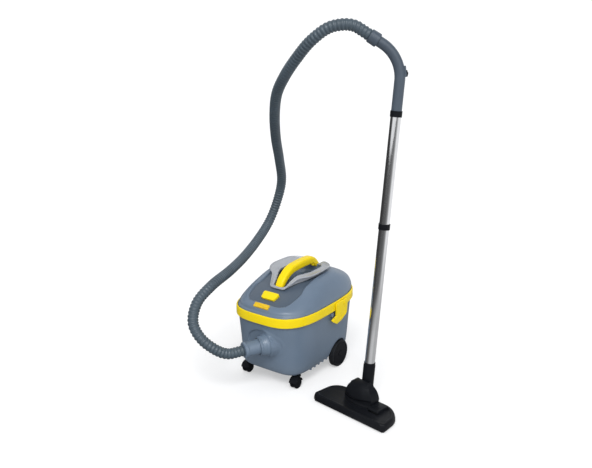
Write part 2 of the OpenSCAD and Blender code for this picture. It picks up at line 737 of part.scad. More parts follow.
// A ring of 8 sides square to the route
function hose_ring(s, r) =
  let(d = heading(s), u = unit(cross(d, [-0.9, 0.36, 0.27])), v = cross(d, u), p = at(s))
  [for (k = [0:7]) p + r * (cos(45 * k) * u + sin(45 * k) * v)];

rib_pitch = hose_len / hose_ribs;
bore_rings = 70;
module hose() color(dark_grey) {
  outer = [for (k = [0:hose_ribs - 1]) each [
    hose_ring(k == 0 ? gap : (k + 0.2) * rib_pitch, hose_r - (k == 0 ? 0 : 1.6)),
    hose_ring(k == hose_ribs - 1 ? hose_len - gap : (k + 0.7) * rib_pitch, hose_r)]];
  inner = [for (k = [bore_rings:-1:0])
    hose_ring(gap + k * (hose_len - 2 * gap) / bore_rings, hose_bore / 2)];
  loft_loop(concat(outer, inner));
}

// ---------------------------------------------------------------- wand

module wand_handle() color(body_grey) wand_frame() {
  spigot_r = tube_r - tube_wall - run_fit;
  pipe(tube_r, straight_len + ring_len, handle_bore, handle_start - ring_len);
  pipe(spigot_r, 42, handle_bore, handle_start - ring_len - 40);
}

// Frame on the bend's middle line, turned by an angle of the bend; -x is its outer side
module bend_frame(a) {
  wand_frame() rotate([0, 0, bend_turn]) translate([bend_r, 0, bend_start])
    rotate([0, a, 0]) translate([-bend_r, 0, 0]) children();
}
module bend_sweep(r) {
  bend_frame(0) translate([bend_r, 0, 0]) rotate([90, 0, 180])
    rotate_extrude(angle = bend_angle, $fn = 96) translate([bend_r, 0]) circle(r = r, $fn = 48);
}

bleed_angle = 10;                     // where the bleed slider sits on the bend
pad_x = tube_r + 2.5;                 // face of the slider's pad, from the bend's middle line
bleed_slot = 7;                       // half length of the bleed slot
slider_half = bleed_slot + 2;         // the pad reaches past the slider over its travel
module handle_bend() color(body_grey) difference() {
  union() {
    bend_sweep(tube_r);
    bend_frame(bleed_angle) translate([-pad_x, -8, -slider_half - 1])
      cube([6, 16, 2 * slider_half + bleed_travel + 2]);
  }
  bend_sweep(handle_bore);
  bend_frame(bleed_angle) translate([-pad_x - 1, -3, -bleed_slot])
    cube([12, 6, 2 * bleed_slot]);
}

module handle_socket() color(body_grey) handle_end_frame()
  pipe(tube_r, socket_len, handle_bore, -socket_len);

module bleed_slider() color(dark_grey) bend_frame(bleed_angle)
  translate([-pad_x - gap, 0, 0]) {
    translate([-3, -8, -slider_half]) cube([3, 16, 2 * slider_half]);
    translate([-5, -6, -4]) cube([2.5, 12, 8]);
  }

module top_ring() color(black) wand_frame()
  pipe(tube_r + 2, ring_len, tube_r + seat_fit, upper_end);

module upper_tube() color(steel) wand_frame() {
  spigot_r = tube_r - tube_wall - run_fit;
  pipe(tube_r, upper_len + tube_seat, tube_r - tube_wall, upper_start - tube_seat);
  pipe(tube_r, 2, spigot_r - 1, upper_start - tube_seat);
  pipe(spigot_r, 32, spigot_r - 1, upper_start - tube_seat - 30);
}

module middle_ring() color(black) wand_frame()
  pipe(tube_r + 2, ring_len, tube_r + seat_fit, lower_end);

module lower_tube() color(steel) wand_frame()
  pipe(tube_r, lower_len + tube_seat + 6, tube_r - tube_wall, neck_end - tube_seat);

neck_r = tube_r + 3;
elbow_r = 17;                         // stub pipe and barrel of the elbow
elbow_bore = 12.5;
stub_len = 30;                        // stub inside the neck
module neck() color(black) wand_frame() difference() {
  union() {
    pipe(neck_r, neck_len - 8, 0, neck_start);
    pipe(neck_r - 1, 8, 0, neck_end - 8);
  }
  cylinder_from(elbow_r - 1 + run_fit, neck_start - 1, neck_start + stub_len + 1);
  cylinder_from(elbow_bore, neck_start, neck_end + 1);
  cylinder_from(tube_r + seat_fit, neck_end - tube_seat - gap, neck_end + 1);
}

// ---------------------------------------------------------------- floor head

cheek_u = 22;                         // half width of the slot that the elbow swings in
trunnion_r = 6;
module elbow() color(black) wand_frame() difference() {
  union() {
    x_pin(elbow_r, -cheek_u + gap, cheek_u - gap);
    x_pin(trunnion_r, -cheek_u - 9, cheek_u + 9);
    cylinder_from(elbow_r, 0, neck_start - gap);
    cylinder_from(elbow_r - 1, 0, neck_start + stub_len);
  }
  cylinder_from(elbow_bore, -30, neck_start + stub_len + 1);
}

// One corner of the head's outline as an arc: corner x, y, radius and the two edge directions
function corner(c, a0, a1, m) = [for (k = [0:m]) let(a = a0 + (a1 - a0) * k / m)
  [c[0] + c[2] * cos(a), c[1] + c[2] * sin(a)]];
// Outline of the floor head, drawn in by an inset
function head_outline(inset) =
  let(w = head_w / 2 - inset, d = head_depth - inset,
      right = concat(
        corner([w - 6, inset + 6, 6], -90, 4, 4),
        corner([w - 74, d - 70, 70], 4, 90, 8)))
  concat(right, [for (i = [len(right) - 1:-1:0]) [-right[i][0], right[i][1]]]);
function head_ring(inset, z) = [for (p = head_outline(inset)) [p[0], p[1], z]];

module barrel_cut(grow) {
  translate([0, pivot_v, pivot_z]) x_pin(elbow_r + grow, -cheek_u, cheek_u);
}

pedal_u = head_w / 2 - 75;            // middle of the pedal
pedal_v = 70;
pedal_w = 38;
pedal_l = 56;
pedal_pin_r = 2.5;
pedal_pin_z = head_h - 5;
sole_t = 2;
sole_z = 2;
module head_base() color(black) head_frame() difference() {
  union() {
    difference() {
      loft([
        head_ring(2, sole_z + sole_t), head_ring(0, 7), head_ring(2.5, head_h - 8),
        head_ring(6, head_h - 2), head_ring(9, head_h)]);
      loft([head_ring(5, 0), head_ring(5, 8), head_ring(9, head_h - 3)]);
    }
    // Ears of the pedal's pin
    for (t = [-1, 1]) translate([pedal_u + t * (pedal_w / 2 + 3), pedal_v - 8, head_h - 12])
      translate([-2.2, 0, 0]) cube([4.4, 16, 11]);
    // Blocks that carry the rollers
    for (t = [-1, 1]) translate([t * roller_u, 0, 0]) for (q = [-1, 1])
      translate([q * 9.5 - 2, roller_v - 8, sole_z + sole_t + gap]) cube([4, 16, 22]);
  }
  barrel_cut(1);
  // Pocket that the pedal rocks in
  translate([pedal_u - pedal_w / 2 - 0.5, pedal_v - pedal_l / 2 - 1.5,
    head_h - 8 - pedal_l / 2 * sin(pedal_rock)])
    cube([pedal_w + 1, pedal_l + 3, 30]);
  translate([0, pedal_v, pedal_pin_z])
    x_pin(pedal_pin_r + run_fit, pedal_u - pedal_w / 2 - 8, pedal_u + pedal_w / 2 + 8);
  for (t = [-1, 1]) translate([t * roller_u, roller_v, roller_r])
    x_pin(roller_pin_r + run_fit, -14, 14);
}

hood_v = 86;
module head_hood() color(black) head_frame() difference() {
  union() {
    loft([
      oblong(50, 50, 2.2, head_h, hood_v, 40), oblong(47, 47, 2.2, head_h + 17, hood_v, 40),
      oblong(40, 40, 2.1, head_h + 32, hood_v + 2, 40),
      oblong(31, 30, 2, head_h + 45, hood_v + 5, 40),
      oblong(22, 20, 2, head_h + 53, hood_v + 8, 40)]);
    // Visor over the front of the hood
    hull() {
      translate([-33, 39, head_h + 14]) cube([66, 3, 3]);
      translate([-26, 80, head_h + 50]) cube([52, 10, 3]);
      translate([-38, 66, head_h + 10]) cube([76, 20, 4]);
    }
  }
  translate([-cheek_u, pivot_v - elbow_r - 3.5, head_h - 1]) cube([2 * cheek_u, 120, 120]);
  translate([-60, head_depth, head_h - 1]) cube([120, 60, 100]);
  translate([0, pivot_v, pivot_z]) x_pin(trunnion_r + run_fit, -cheek_u - 10, cheek_u + 10);
}

slot_half = head_w / 2 - 30;          // half length of the suction slots
module sole_plate() color(dark_grey) head_frame() difference() {
  union() {
    translate([0, 0, sole_z]) linear_extrude(sole_t) polygon(head_outline(4));
    // Glides under the front and rear edges
    for (v = [30, head_depth - 14]) translate([-head_w / 2 + 50, v, 0])
      cube([head_w - 100, 4, sole_z + 0.5]);
  }
  translate([-slot_half, 42, -1]) cube([2 * slot_half, 14, 8]);
  for (v = brush_rows)
    translate([-slot_half - gap, v - brush_t / 2 - gap, -1])
      cube([2 * (slot_half + gap), brush_t + 2 * gap, 8]);
  for (t = [-1, 1]) translate([t * roller_u - 8, roller_v - 11, -1]) cube([16, 22, 8]);
}

brush_rows = [18, 66];
brush_t = 5;
carrier_z = 11;
brush_bottom = brush_drop;            // raised brushes clear the floor by their drop
module brush_carrier() color(dark_grey) head_frame() {
  for (v = brush_rows) translate([-slot_half, v - 4, carrier_z]) cube([2 * slot_half, 8, 3]);
  for (u = [-80, 40]) translate([u, brush_rows[0] - 4, carrier_z])
    cube([10, brush_rows[1] - brush_rows[0] + 8, 3]);
}

module brush(i) color(black) head_frame()
  translate([-slot_half, brush_rows[i] - brush_t / 2, brush_bottom])
    cube([2 * slot_half, brush_t, carrier_z - brush_bottom]);

roller_r = 8;
roller_u = slot_half - 13;            // the rollers stand behind the ends of the slots
roller_v = head_depth - 30;
roller_pin_r = 2;
module head_roller(s) color(black) head_frame()
  translate([s * roller_u, roller_v, roller_r]) rotate([0, 90, 0]) rotate_extrude($fn = 64)
    polygon([
      [0, -11], [roller_pin_r, -11], [roller_pin_r, -7], [roller_r - 1, -7], [roller_r, -6],
      [roller_r, 6], [roller_r - 1, 7], [roller_pin_r, 7], [roller_pin_r, 11], [0, 11]]);

module pedal() color(black) head_frame() translate([pedal_u, pedal_v, 0]) {
  difference() {
    translate([-pedal_w / 2, 0, 0]) rotate([90, 0, 90]) linear_extrude(pedal_w) polygon([
      [-pedal_l / 2, head_h + 1], [-pedal_l / 2 + 2, head_h + 7], [0, head_h + 9],
      [pedal_l / 2 - 2, head_h + 8], [pedal_l / 2, head_h + 2], [6, pedal_pin_z - 4],
      [-6, pedal_pin_z - 4]]);
  }
  translate([0, 0, pedal_pin_z])
    x_pin(pedal_pin_r, -pedal_w / 2 - 4.5, pedal_w / 2 + 4.5);
}

// ---------------------------------------------------------------- whole machine

// The box round everything but the hose and its cuffs, seen from above
box_left = -(latch_in + latch_t + pin_head_t + gap);
box_right = head_at[0]
  + max([for (p = head_outline(0)) p[0] * cos(head_turn) + p[1] * sin(head_turn)]);
box_front = inlet_at[1] + in_inlet([0, 0, collar_z + collar_t])[1]
  - (boss_r - 3) * sqrt(1 - pow(tub_dir[1], 2));
box_rear = gland_y + gland_len;
module place() {
  translate([-(box_left + box_right) / 2, -(box_front + box_rear) / 2, 0]) children();
}

place() tub();
place() inlet_collar();
place() inlet_seal();
place() dust_bag();
place() bag_collar();
place() castor(-1);  // castor_left
place() castor(1);  // castor_right
place() castor_wheels(-1);  // castor_wheels_left
place() castor_wheels(1);  // castor_wheels_right
place() axle(-1);  // axle_left
place() axle(1);  // axle_right
place() wheel(-1);  // wheel_left
place() wheel(1);  // wheel_right
place() tyre(-1);  // tyre_left
place() tyre(1);  // tyre_right
place() band();
place() deck();
place() gasket();
place() dome();
place() handle_frame();
place() carry_handle();
place() power_button();
place() name_plate();
place() switch_box();
place() fan_housing();
place() motor_case();
place() motor_seal();
place() impeller();
place() filter_cage();
place() cloth_filter();
place() exhaust_grille();
place() cord_gland();
place() latch(-1);  // latch_left
place() latch(1);  // latch_right
place() latch_pin(-1);  // latch_pin_left
place() latch_pin(1);  // latch_pin_right
place() hose();
place() hose_cuff_tub();
place() hose_cuff_wand();
place() wand_handle();
place() handle_bend();
place() handle_socket();
place() bleed_slider();
place() top_ring();
place() upper_tube();
place() middle_ring();
place() lower_tube();
place() neck();
place() elbow();
place() head_base();
place() head_hood();
place() sole_plate();
place() pedal();
place() brush_carrier();
place() brush(0);  // brush_front
place() brush(1);  // brush_rear
place() head_roller(-1);  // head_roller_left
place() head_roller(1);  // head_roller_right
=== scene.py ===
"""Finishes and finer shapes for the frame of a wheeled tub vacuum cleaner."""
import json
import math

import bpy
from bpy.props import FloatProperty, FloatVectorProperty, IntProperty, PointerProperty
from mathutils import Matrix, Vector, noise
from mathutils.bvhtree import BVHTree


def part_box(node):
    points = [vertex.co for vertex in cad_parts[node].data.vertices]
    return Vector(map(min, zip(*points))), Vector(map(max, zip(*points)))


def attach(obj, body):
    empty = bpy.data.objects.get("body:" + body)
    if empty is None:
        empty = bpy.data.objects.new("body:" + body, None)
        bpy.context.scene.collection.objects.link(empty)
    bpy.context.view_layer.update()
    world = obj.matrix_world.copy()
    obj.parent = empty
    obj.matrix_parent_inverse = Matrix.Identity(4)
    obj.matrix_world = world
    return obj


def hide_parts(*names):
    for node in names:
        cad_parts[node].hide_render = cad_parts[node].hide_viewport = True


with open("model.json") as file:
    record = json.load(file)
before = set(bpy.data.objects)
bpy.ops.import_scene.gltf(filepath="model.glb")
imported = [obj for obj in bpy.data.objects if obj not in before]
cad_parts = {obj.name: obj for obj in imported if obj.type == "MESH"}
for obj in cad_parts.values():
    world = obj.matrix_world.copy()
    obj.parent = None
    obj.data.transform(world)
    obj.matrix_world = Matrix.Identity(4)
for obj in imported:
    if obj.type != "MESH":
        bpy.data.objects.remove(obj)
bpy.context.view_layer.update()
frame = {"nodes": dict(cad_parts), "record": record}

bl_info = {
    "name": "Tub vacuum cleaner",
    "version": (1, 0, 0),
    "blender": (4, 5, 0),
    "location": "View3D > Sidebar > Vacuum",
    "description": "Dresses the frame of a wheeled tub vacuum cleaner with its finishes",
    "category": "Add Mesh",
}

MM = 0.001

# ---------------------------------------------------------------- the object's own frames
# Shapes are drawn in millimetres about the tub's middle, floor at zero, front towards -Y.

BAND_LOW, BAND_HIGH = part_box("band")
TUB_MIDDLE = Vector(((BAND_LOW[0] + BAND_HIGH[0]) / 2, (BAND_LOW[1] + BAND_HIGH[1]) / 2, 0))
HALF_W = (BAND_HIGH[0] - BAND_LOW[0]) / 2 / MM
HALF_L = (BAND_HIGH[1] - BAND_LOW[1]) / 2 / MM
UNDERSIDE, RIM = 43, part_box("tub")[1][2] / MM
BAND_Z, BAND_TOP = BAND_LOW[2] / MM, BAND_HIGH[2] / MM


def moved(x, y, z):
    return Matrix.Translation(Vector((x, y, z)) * MM)


def turned(degrees, axis):
    return Matrix.Rotation(math.radians(degrees), 4, axis)


TUB = Matrix.Translation(TUB_MIDDLE)
SIDE_ON = Matrix(((0, 0, 1, 0), (1, 0, 0, 0), (0, 1, 0, 0), (0, 0, 0, 1)))     # Y, Z, X for X, Y, Z
INLET_X = 15
INLET = TUB @ moved(INLET_X, -215, 157.5) @ turned(-28, "Z") @ turned(93, "X")
SLOPE = TUB @ moved(0, -151, 308) @ turned(27, "X")
HEAD = TUB @ moved(339.8, -209.2, 0) @ turned(-9.1, "Z")
PIVOT_V, PIVOT_Z = 97, 40
WAND = HEAD @ moved(0, PIVOT_V, PIVOT_Z) @ turned(-6.4, "X")
BEND_R, BEND_START, BEND_ANGLE, BEND_TURN = 115, 987, 62, 224.4
SOCKET_LEN, WAND_CUFF_LEN, TUB_CUFF_END = 14, 30, 66.3


def bend_frame(angle):
    """Frame on the middle line of the handle's bend, -X towards its outer side"""
    return (WAND @ turned(BEND_TURN, "Z") @ moved(BEND_R, 0, BEND_START) @ turned(angle, "Y")
            @ moved(-BEND_R, 0, 0))


HANDLE_END = bend_frame(BEND_ANGLE) @ moved(0, 0, SOCKET_LEN)


def point(matrix, x, y, z):
    return matrix @ (Vector((x, y, z)) * MM)


# ---------------------------------------------------------------- curves and rings


def sgn_pow(value, power):
    """A power that keeps the value's sign"""
    return math.copysign(abs(value) ** power, value)


def smooth_step(value):
    value = min(max(value, 0), 1)
    return value * value * (3 - 2 * value)


def spline(rows, steps, closed=False):
    """Rows of numbers on a smooth curve through the given rows"""
    count = len(rows)
    spans = count if closed else count - 1
    out = []
    for k in range(spans):
        if closed:
            a, b, c, d = (rows[(k + i) % count] for i in (-1, 0, 1, 2))
        else:
            a, b, c, d = rows[max(k - 1, 0)], rows[k], rows[k + 1], rows[min(k + 2, count - 1)]
        for s in range(steps):
            t = s / steps
            out.append([
                0.5 * (2 * q + (r - p) * t + (2 * p - 5 * q + 4 * r - w) * t * t
                       + (3 * q - p - 3 * r + w) * t ** 3)
                for p, q, r, w in zip(a, b, c, d)])
    if not closed:
        out.append(list(rows[-1]))
    return out


def circle(sides):
    """Even angles round a circle"""
    return [2 * math.pi * i / sides for i in range(sides)]


def oblong(half_w, half_l, squareness, z, shift=0.0, sides=240):
    """One ring of a moulded shell, its points at even angles"""
    ring = []
    for i in range(sides):
        turn = 2 * math.pi * (i + 0.5) / sides
        c, s = math.cos(turn), math.sin(turn)
        reach = (abs(c / half_w) ** squareness + abs(s / half_l) ** squareness) ** (-1 / squareness)
        ring.append((reach * c, shift + reach * s, z))
    return ring


# ---------------------------------------------------------------- making and joining pieces


def only(*objs):
    """Selects these objects and nothing else"""
    for other in bpy.context.selected_objects:
        other.select_set(False)
    for obj in objs:
        obj.select_set(True)
    bpy.context.view_layer.objects.active = objs[0]


def mesh_piece(name, points, faces, matrix=TUB):
    mesh = bpy.data.meshes.new(name)
    mesh.from_pydata([point(matrix, *p) for p in points], [], faces)
    obj = bpy.data.objects.new(name, mesh)
    bpy.context.scene.collection.objects.link(obj)
    return obj


def loft(name, rings, matrix=TUB, closed=False):
    """A shell through rings: capped at both ends, or joined into a loop"""
    sides, count = len(rings[0]), len(rings)
    faces = []
    for k in range(count if closed else count - 1):
        low, high = k * sides, (k + 1) % count * sides
        for i in range(sides):
            j = (i + 1) % sides
            faces.append((low + i, low + j, high + j, high + i))
    if not closed:
        faces.append(tuple(range(sides - 1, -1, -1)))
        faces.append(tuple(range((count - 1) * sides, count * sides)))
    return mesh_piece(name, [p for ring in rings for p in ring], faces, matrix)


def weld(obj):
    """Closes the poles of a turned solid and points its faces outwards"""
    only(obj)
    bpy.ops.object.mode_set(mode="EDIT")
    bpy.ops.mesh.select_all(action="SELECT")
    bpy.ops.mesh.remove_doubles(threshold=1e-6)
    bpy.ops.mesh.normals_make_consistent(inside=False)
    bpy.ops.object.mode_set(mode="OBJECT")


def turned_piece(name, profile, matrix, sides=96):
    """A solid of revolution about Z: its profile is a closed line of (radius, height)"""
    rings = [[(r * math.cos(a), r * math.sin(a), z) for r, z in profile] for a in circle(sides)]
    obj = loft(name, rings, matrix, closed=True)
    weld(obj)
    return obj


def cylinder(name, matrix, radius, low, high, sides=64):
    """A plain round tool along Z, for cutting"""
    bpy.ops.mesh.primitive_cylinder_add(vertices=sides, radius=radius * MM, depth=(high - low) * MM)
    obj = bpy.context.object
    obj.name = name
    obj.data.transform(matrix @ moved(0, 0, (high + low) / 2))
    return obj


def block(name, matrix, low, high, bevel=0.0):
    """A box between two corners, its edges rounded by bevel"""
    bpy.ops.mesh.primitive_cube_add(size=1)
    obj = bpy.context.object
    obj.name = name
    size = Vector(high) - Vector(low)
    middle = (Vector(high) + Vector(low)) / 2
    obj.data.transform(Matrix.Diagonal((*(size * MM), 1)))
    if bevel:
        round_edges(obj, bevel)
    obj.data.transform(matrix @ moved(*middle))
    return obj


def prism(name, outline, matrix, low, high, bevel=0.0, corner=0.0, inset=0.0, sunk=0.0):
    """A plate with this outline: corners rounded, edges eased, its top face set in if asked"""
    obj = mesh_piece(name, [(x, y, low) for x, y in outline], [tuple(range(len(outline)))],
                     Matrix.Identity(4))
    only(obj)
    bpy.ops.object.mode_set(mode="EDIT")
    bpy.ops.mesh.select_all(action="SELECT")
    if corner:
        bpy.ops.mesh.bevel(offset=corner * MM, segments=5, affect="VERTICES")
    bpy.ops.mesh.select_all(action="SELECT")
    bpy.ops.mesh.extrude_region_move(TRANSFORM_OT_translate={"value": (0, 0, (high - low) * MM)})
    if inset:
        bpy.ops.mesh.inset(thickness=inset * MM, depth=0)
        bpy.ops.mesh.inset(thickness=abs(sunk) * MM, depth=sunk * MM)
    bpy.ops.mesh.select_all(action="SELECT")
    bpy.ops.mesh.normals_make_consistent(inside=False)
    bpy.ops.object.mode_set(mode="OBJECT")
    if bevel:
        round_edges(obj, bevel)
    obj.data.transform(matrix)
    return obj


def apply_modifier(obj, modifier):
    only(obj)
    bpy.ops.object.modifier_apply(modifier=modifier.name)


def round_edges(obj, width, segments=3, angle=28):
    bevel = obj.modifiers.new("edges", "BEVEL")
    bevel.width = width * MM
    bevel.segments = segments
    bevel.limit_method = "ANGLE"
    bevel.angle_limit = math.radians(angle)
    apply_modifier(obj, bevel)


def combine(obj, tool, operation="DIFFERENCE"):
    """Cuts a tool from a shell, or adds it, and uses the tool up"""
    boolean = obj.modifiers.new("shape", "BOOLEAN")
    boolean.operation = operation
    boolean.solver = "MANIFOLD"
    boolean.object = tool
    apply_modifier(obj, boolean)
    bpy.data.objects.remove(tool)
    if not obj.data.polygons:
        raise RuntimeError(f"{obj.name} vanished when a shape was cut from it")


def join(obj, *others):
    only(obj, *others)
    bpy.ops.object.join()
    return obj


def mirrored_copy(obj, name):
    """The piece on the other side of the tub, with its own mesh"""
    twin = bpy.data.objects.new(name, obj.data.copy())
    bpy.context.scene.collection.objects.link(twin)
    flip = TUB @ Matrix.Diagonal((-1, 1, 1, 1)) @ TUB.inverted()
    twin.data.transform(flip)
    twin.data.flip_normals()
    return twin


def dress(obj, body, slot, nodes=(), angle=30, finish=None):
    """Shades a finished piece, gives it its slot's finish or another, puts it on its body"""
    only(obj)
    bpy.ops.object.shade_smooth_by_angle(angle=math.radians(angle))
    obj.data.materials.clear()
    obj.data.materials.append(bpy.data.materials[finish or slot])
    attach(obj, body)
    if nodes:
        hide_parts(*nodes)


# ---------------------------------------------------------------- finishes


def new_material(name):
    """An empty material and its main shader"""
    old = bpy.data.materials.get(name)
    if old:
        bpy.data.materials.remove(old)
    material = bpy.data.materials.new(name)
    material.use_nodes = True
    return material, material.node_tree, material.node_tree.nodes["Principled BSDF"]


def add(tree, kind, **inputs):
    """Adds a shader node; an input that is a socket is linked, any other value is set"""
    node = tree.nodes.new(kind)
    fill(tree, node, inputs)
    return node


def feed(tree, socket, value):
    """Links another node's socket to this one, or sets a plain value on it"""
    if isinstance(value, bpy.types.NodeSocket):
        tree.links.new(value, socket)
    else:
        socket.default_value = value


def fill(tree, node, inputs):
    for name, value in inputs.items():
        feed(tree, node.inputs[name.replace("_", " ")], value)


def compute(tree, operation, *values):
    """The result of a math node"""
    node = tree.nodes.new("ShaderNodeMath")
    node.operation = operation
    for socket, value in zip(node.inputs, values):
        feed(tree, socket, value)
    return node.outputs[0]


def tone_ramp(tree, factor, rows):
    """Grey tones along a factor, as rows of place and tone"""
    ramp = add(tree, "ShaderNodeValToRGB", Fac=factor)
    stops = ramp.color_ramp.elements
    for stop, (position, tone) in zip(stops, (rows[0], rows[-1])):
        stop.position, stop.color = position, (tone, tone, tone, 1)
    for position, tone in rows[1:-1]:
        stops.new(position).color = (tone, tone, tone, 1)
    return ramp.outputs["Color"]


def spread(tree, value, low, high, start=0.35, end=0.65):
    """A noise value stretched to run from low to high"""
    return add(tree, "ShaderNodeMapRange", Value=value, From_Min=start, From_Max=end,
               To_Min=low, To_Max=high).outputs["Result"]


def blend_colours(tree, factor, first, second):
    node = tree.nodes.new("ShaderNodeMix")
    node.data_type = "RGBA"
    for place, value in ((0, factor), (6, first), (7, second)):
        feed(tree, node.inputs[place], value)
    return node.outputs[2]


def shade(colour, factor):
    return (*(min(c * factor, 1) for c in colour[:3]), 1)


def object_place(tree, scale=(1, 1, 1)):
    """Object coordinates, stretched along the axes"""
    place = add(tree, "ShaderNodeTexCoord").outputs["Object"]
    if scale == (1, 1, 1):
        return place
    return add(tree, "ShaderNodeMapping", Vector=place, Scale=scale).outputs["Vector"]


DUST, DUST_HEIGHT = (0.34, 0.32, 0.29, 1), 0.11     # dust gathers below this height in metres


def moulded(name, colour, roughness, grain=0.9, depth=0.03, mottle=0.05, dust=0.0, coat=0.0,
            shine=0.5, panel_shade=0.0):
    """Moulded plastic: spark grain of this size in millimetres, uneven tone, handling marks.
    The panel's painted shade darkens the part of the surface whose "panel" attribute is one: the sunk
    front panel, which lies in shade."""
    material, tree, shader = new_material(name)
    place = object_place(tree)
    tone = add(tree, "ShaderNodeTexNoise", Vector=place, Scale=11.0, Detail=5.0).outputs["Fac"]
    marks = add(tree, "ShaderNodeTexNoise", Vector=object_place(tree, (1, 1, 2.2)), Scale=75.0,
                Detail=9.0, Roughness=0.72).outputs["Fac"]
    base = blend_colours(tree, spread(tree, tone, 0, 1), shade(colour, 1 - mottle),
                         shade(colour, 1 + mottle))
    worn = spread(tree, marks, 0, 0.35, 0.56, 0.7)
    base = blend_colours(tree, worn, base, shade([c + 0.004 for c in colour[:3]], 1.14))
    # Painted shade: the sunk front panel is darkened where its "panel" attribute is one
    if panel_shade:
        panel = add(tree, "ShaderNodeAttribute")
        panel.attribute_name = "panel"
        base = blend_colours(tree, panel.outputs["Fac"], base, shade(colour, 1 - panel_shade))
    if dust:
        height = add(tree, "ShaderNodeSeparateXYZ", Vector=place).outputs["Z"]
        low = spread(tree, height, dust, 0, 0, DUST_HEIGHT)
        base = blend_colours(tree, compute(tree, "MULTIPLY", low, marks), base, DUST)
    pits = add(tree, "ShaderNodeTexNoise", Vector=place, Scale=1000 / grain, Detail=3.0)
    bump = add(tree, "ShaderNodeBump", Height=pits.outputs["Fac"], Strength=0.6,
               Distance=depth * MM)
    fill(tree, shader, {
        "Base_Color": base, "Roughness": spread(tree, marks, roughness - 0.05, roughness + 0.1),
        "Normal": bump.outputs["Normal"], "Coat_Weight": coat, "Coat_Roughness": 0.12,
        "Specular_IOR_Level": shine})
    return material


def metal(name, colour, roughness, streak=(260, 260, 5), relief=0.004, stain=0.06):
    """Drawn or turned metal with fine lines along the piece"""
    material, tree, shader = new_material(name)
    lines = add(tree, "ShaderNodeTexNoise", Vector=object_place(tree, streak), Scale=4.0,
                Detail=6.0, Roughness=0.6).outputs["Fac"]
    cloud = add(tree, "ShaderNodeTexNoise", Vector=object_place(tree), Scale=22.0,
                Detail=6.0).outputs["Fac"]
    base = blend_colours(tree, spread(tree, cloud, 0, 1), shade(colour, 1 - stain), (*colour[:3], 1))
    bump = add(tree, "ShaderNodeBump", Height=lines, Strength=0.5, Distance=relief * MM)
    fill(tree, shader, {
        "Base_Color": base, "Metallic": 1.0,
        "Roughness": spread(tree, lines, roughness * 0.7, roughness * 1.5),
        "Normal": bump.outputs["Normal"]})
    return material


def woven(name, colour, thread, relief, fuzz=0.4):
    """Cloth with threads of this width in millimetres both ways"""
    material, tree, shader = new_material(name)
    place = object_place(tree)
    ways = []
    for axis in ("X", "Z"):
        wave = add(tree, "ShaderNodeTexWave", Vector=place, Scale=1000 / thread / 20,
                   Distortion=0.8, Detail=1.0)
        wave.bands_direction = axis
        ways.append(wave.outputs["Fac"])
    cross = compute(tree, "MULTIPLY", *ways)
    soil = add(tree, "ShaderNodeTexNoise", Vector=place, Scale=14.0, Detail=8.0).outputs["Fac"]
    base = blend_colours(tree, cross, shade(colour, 0.78), (*colour[:3], 1))
    base = blend_colours(tree, spread(tree, soil, 0, 0.5, 0.5, 0.75), base, shade(colour, 0.55))
    bump = add(tree, "ShaderNodeBump", Height=cross, Strength=0.7, Distance=relief * MM)
    fill(tree, shader, {
        "Base_Color": base, "Roughness": spread(tree, soil, 0.85, 0.98),
        "Normal": bump.outputs["Normal"], "Sheen_Weight": fuzz, "Sheen_Roughness": 0.5})
    return material


def colour_setting(name, description, value):
    """A colour that the user can change"""
    return FloatVectorProperty(name=name, description=description, subtype="COLOR", default=value,
                               min=0, max=1)


def length_setting(name, description, value, low, high):
    """A length in metres that the user can change, between two limits"""
    return FloatProperty(name=name, description=description, default=value, min=low, max=high,
                         unit="LENGTH")


class VacuumColours(bpy.types.PropertyGroup):
    """Colours of the cleaner's finishes"""

    shell: colour_setting("Shell", "Blue-grey plastic of the tub and dome", (0.142, 0.193, 0.262))
    trim: colour_setting("Trim", "Yellow band, latches, handle and button", (0.93, 0.7, 0.006))
    plate: colour_setting("Plate", "Deeper yellow of the bare plate", (0.76, 0.49, 0.018))
    silver: colour_setting("Frame", "Silver plastic round the carry handle", (0.37, 0.39, 0.425))
    grip: colour_setting("Handle tube", "Slate plastic of the wand's handle", (0.068, 0.09, 0.12))
    hose: colour_setting("Hose", "Ribbed plastic of the hose", (0.066, 0.092, 0.115))
    dark: colour_setting("Dark parts", "Dark grey plastic of the inner parts", (0.035, 0.04, 0.046))
    black: colour_setting("Black parts", "Plastic of wheels and floor head", (0.0075, 0.0085, 0.011))
    rubber: colour_setting("Rubber", "Tyres and seals", (0.01, 0.012, 0.015))
    chrome: colour_setting("Chrome", "Plated tubes of the wand", (0.74, 0.75, 0.77))
    steel: colour_setting("Steel", "Motor case and impeller", (0.5, 0.51, 0.53))
    cloth: colour_setting("Cloth", "Dust bag and cloth filter", (0.66, 0.62, 0.52))


class VacuumSizes(bpy.types.PropertyGroup):
    """Sizes of the finer shapes, in the scene's metres"""

    panel_depth: length_setting("Panel depth", "How far the dome's front panel is sunk", 0.0042, 0,
                                0.006)
    dish_depth: length_setting("Inlet dish depth", "Depth of the hollow round the inlet", 0.0045, 0,
                               0.008)
    wall: length_setting("Wall", "Wall of the moulded shells", 0.003, 0.002, 0.004)
    hose_diameter: length_setting("Hose diameter", "Outer diameter over the ribs", 0.036, 0.03, 0.04)
    hose_bore: length_setting("Hose bore", "Inner diameter", 0.028, 0.02, 0.03)
    hose_ribs: IntProperty(name="Hose ribs", description="Number of ribs", default=190, min=100,
                           max=200)
    camera_lens: FloatProperty(
        name="Lens", description="Focal length of the camera in millimetres", default=48.65,
        min=20, max=100)


def colours():
    return bpy.context.scene.vacuum_colours


def sizes():
    return bpy.context.scene.vacuum_sizes


# Solids that look other than their material slot: the slate handle, capped axles and pins
OWN_FINISH = {
    "wand_handle": "handle_plastic", "handle_bend": "handle_plastic",
    "handle_socket": "handle_plastic", "hose_cuff_wand": "handle_plastic",
    "axle_left": "black_plastic", "axle_right": "black_plastic",
    "latch_pin_left": "yellow_plastic", "latch_pin_right": "yellow_plastic"}


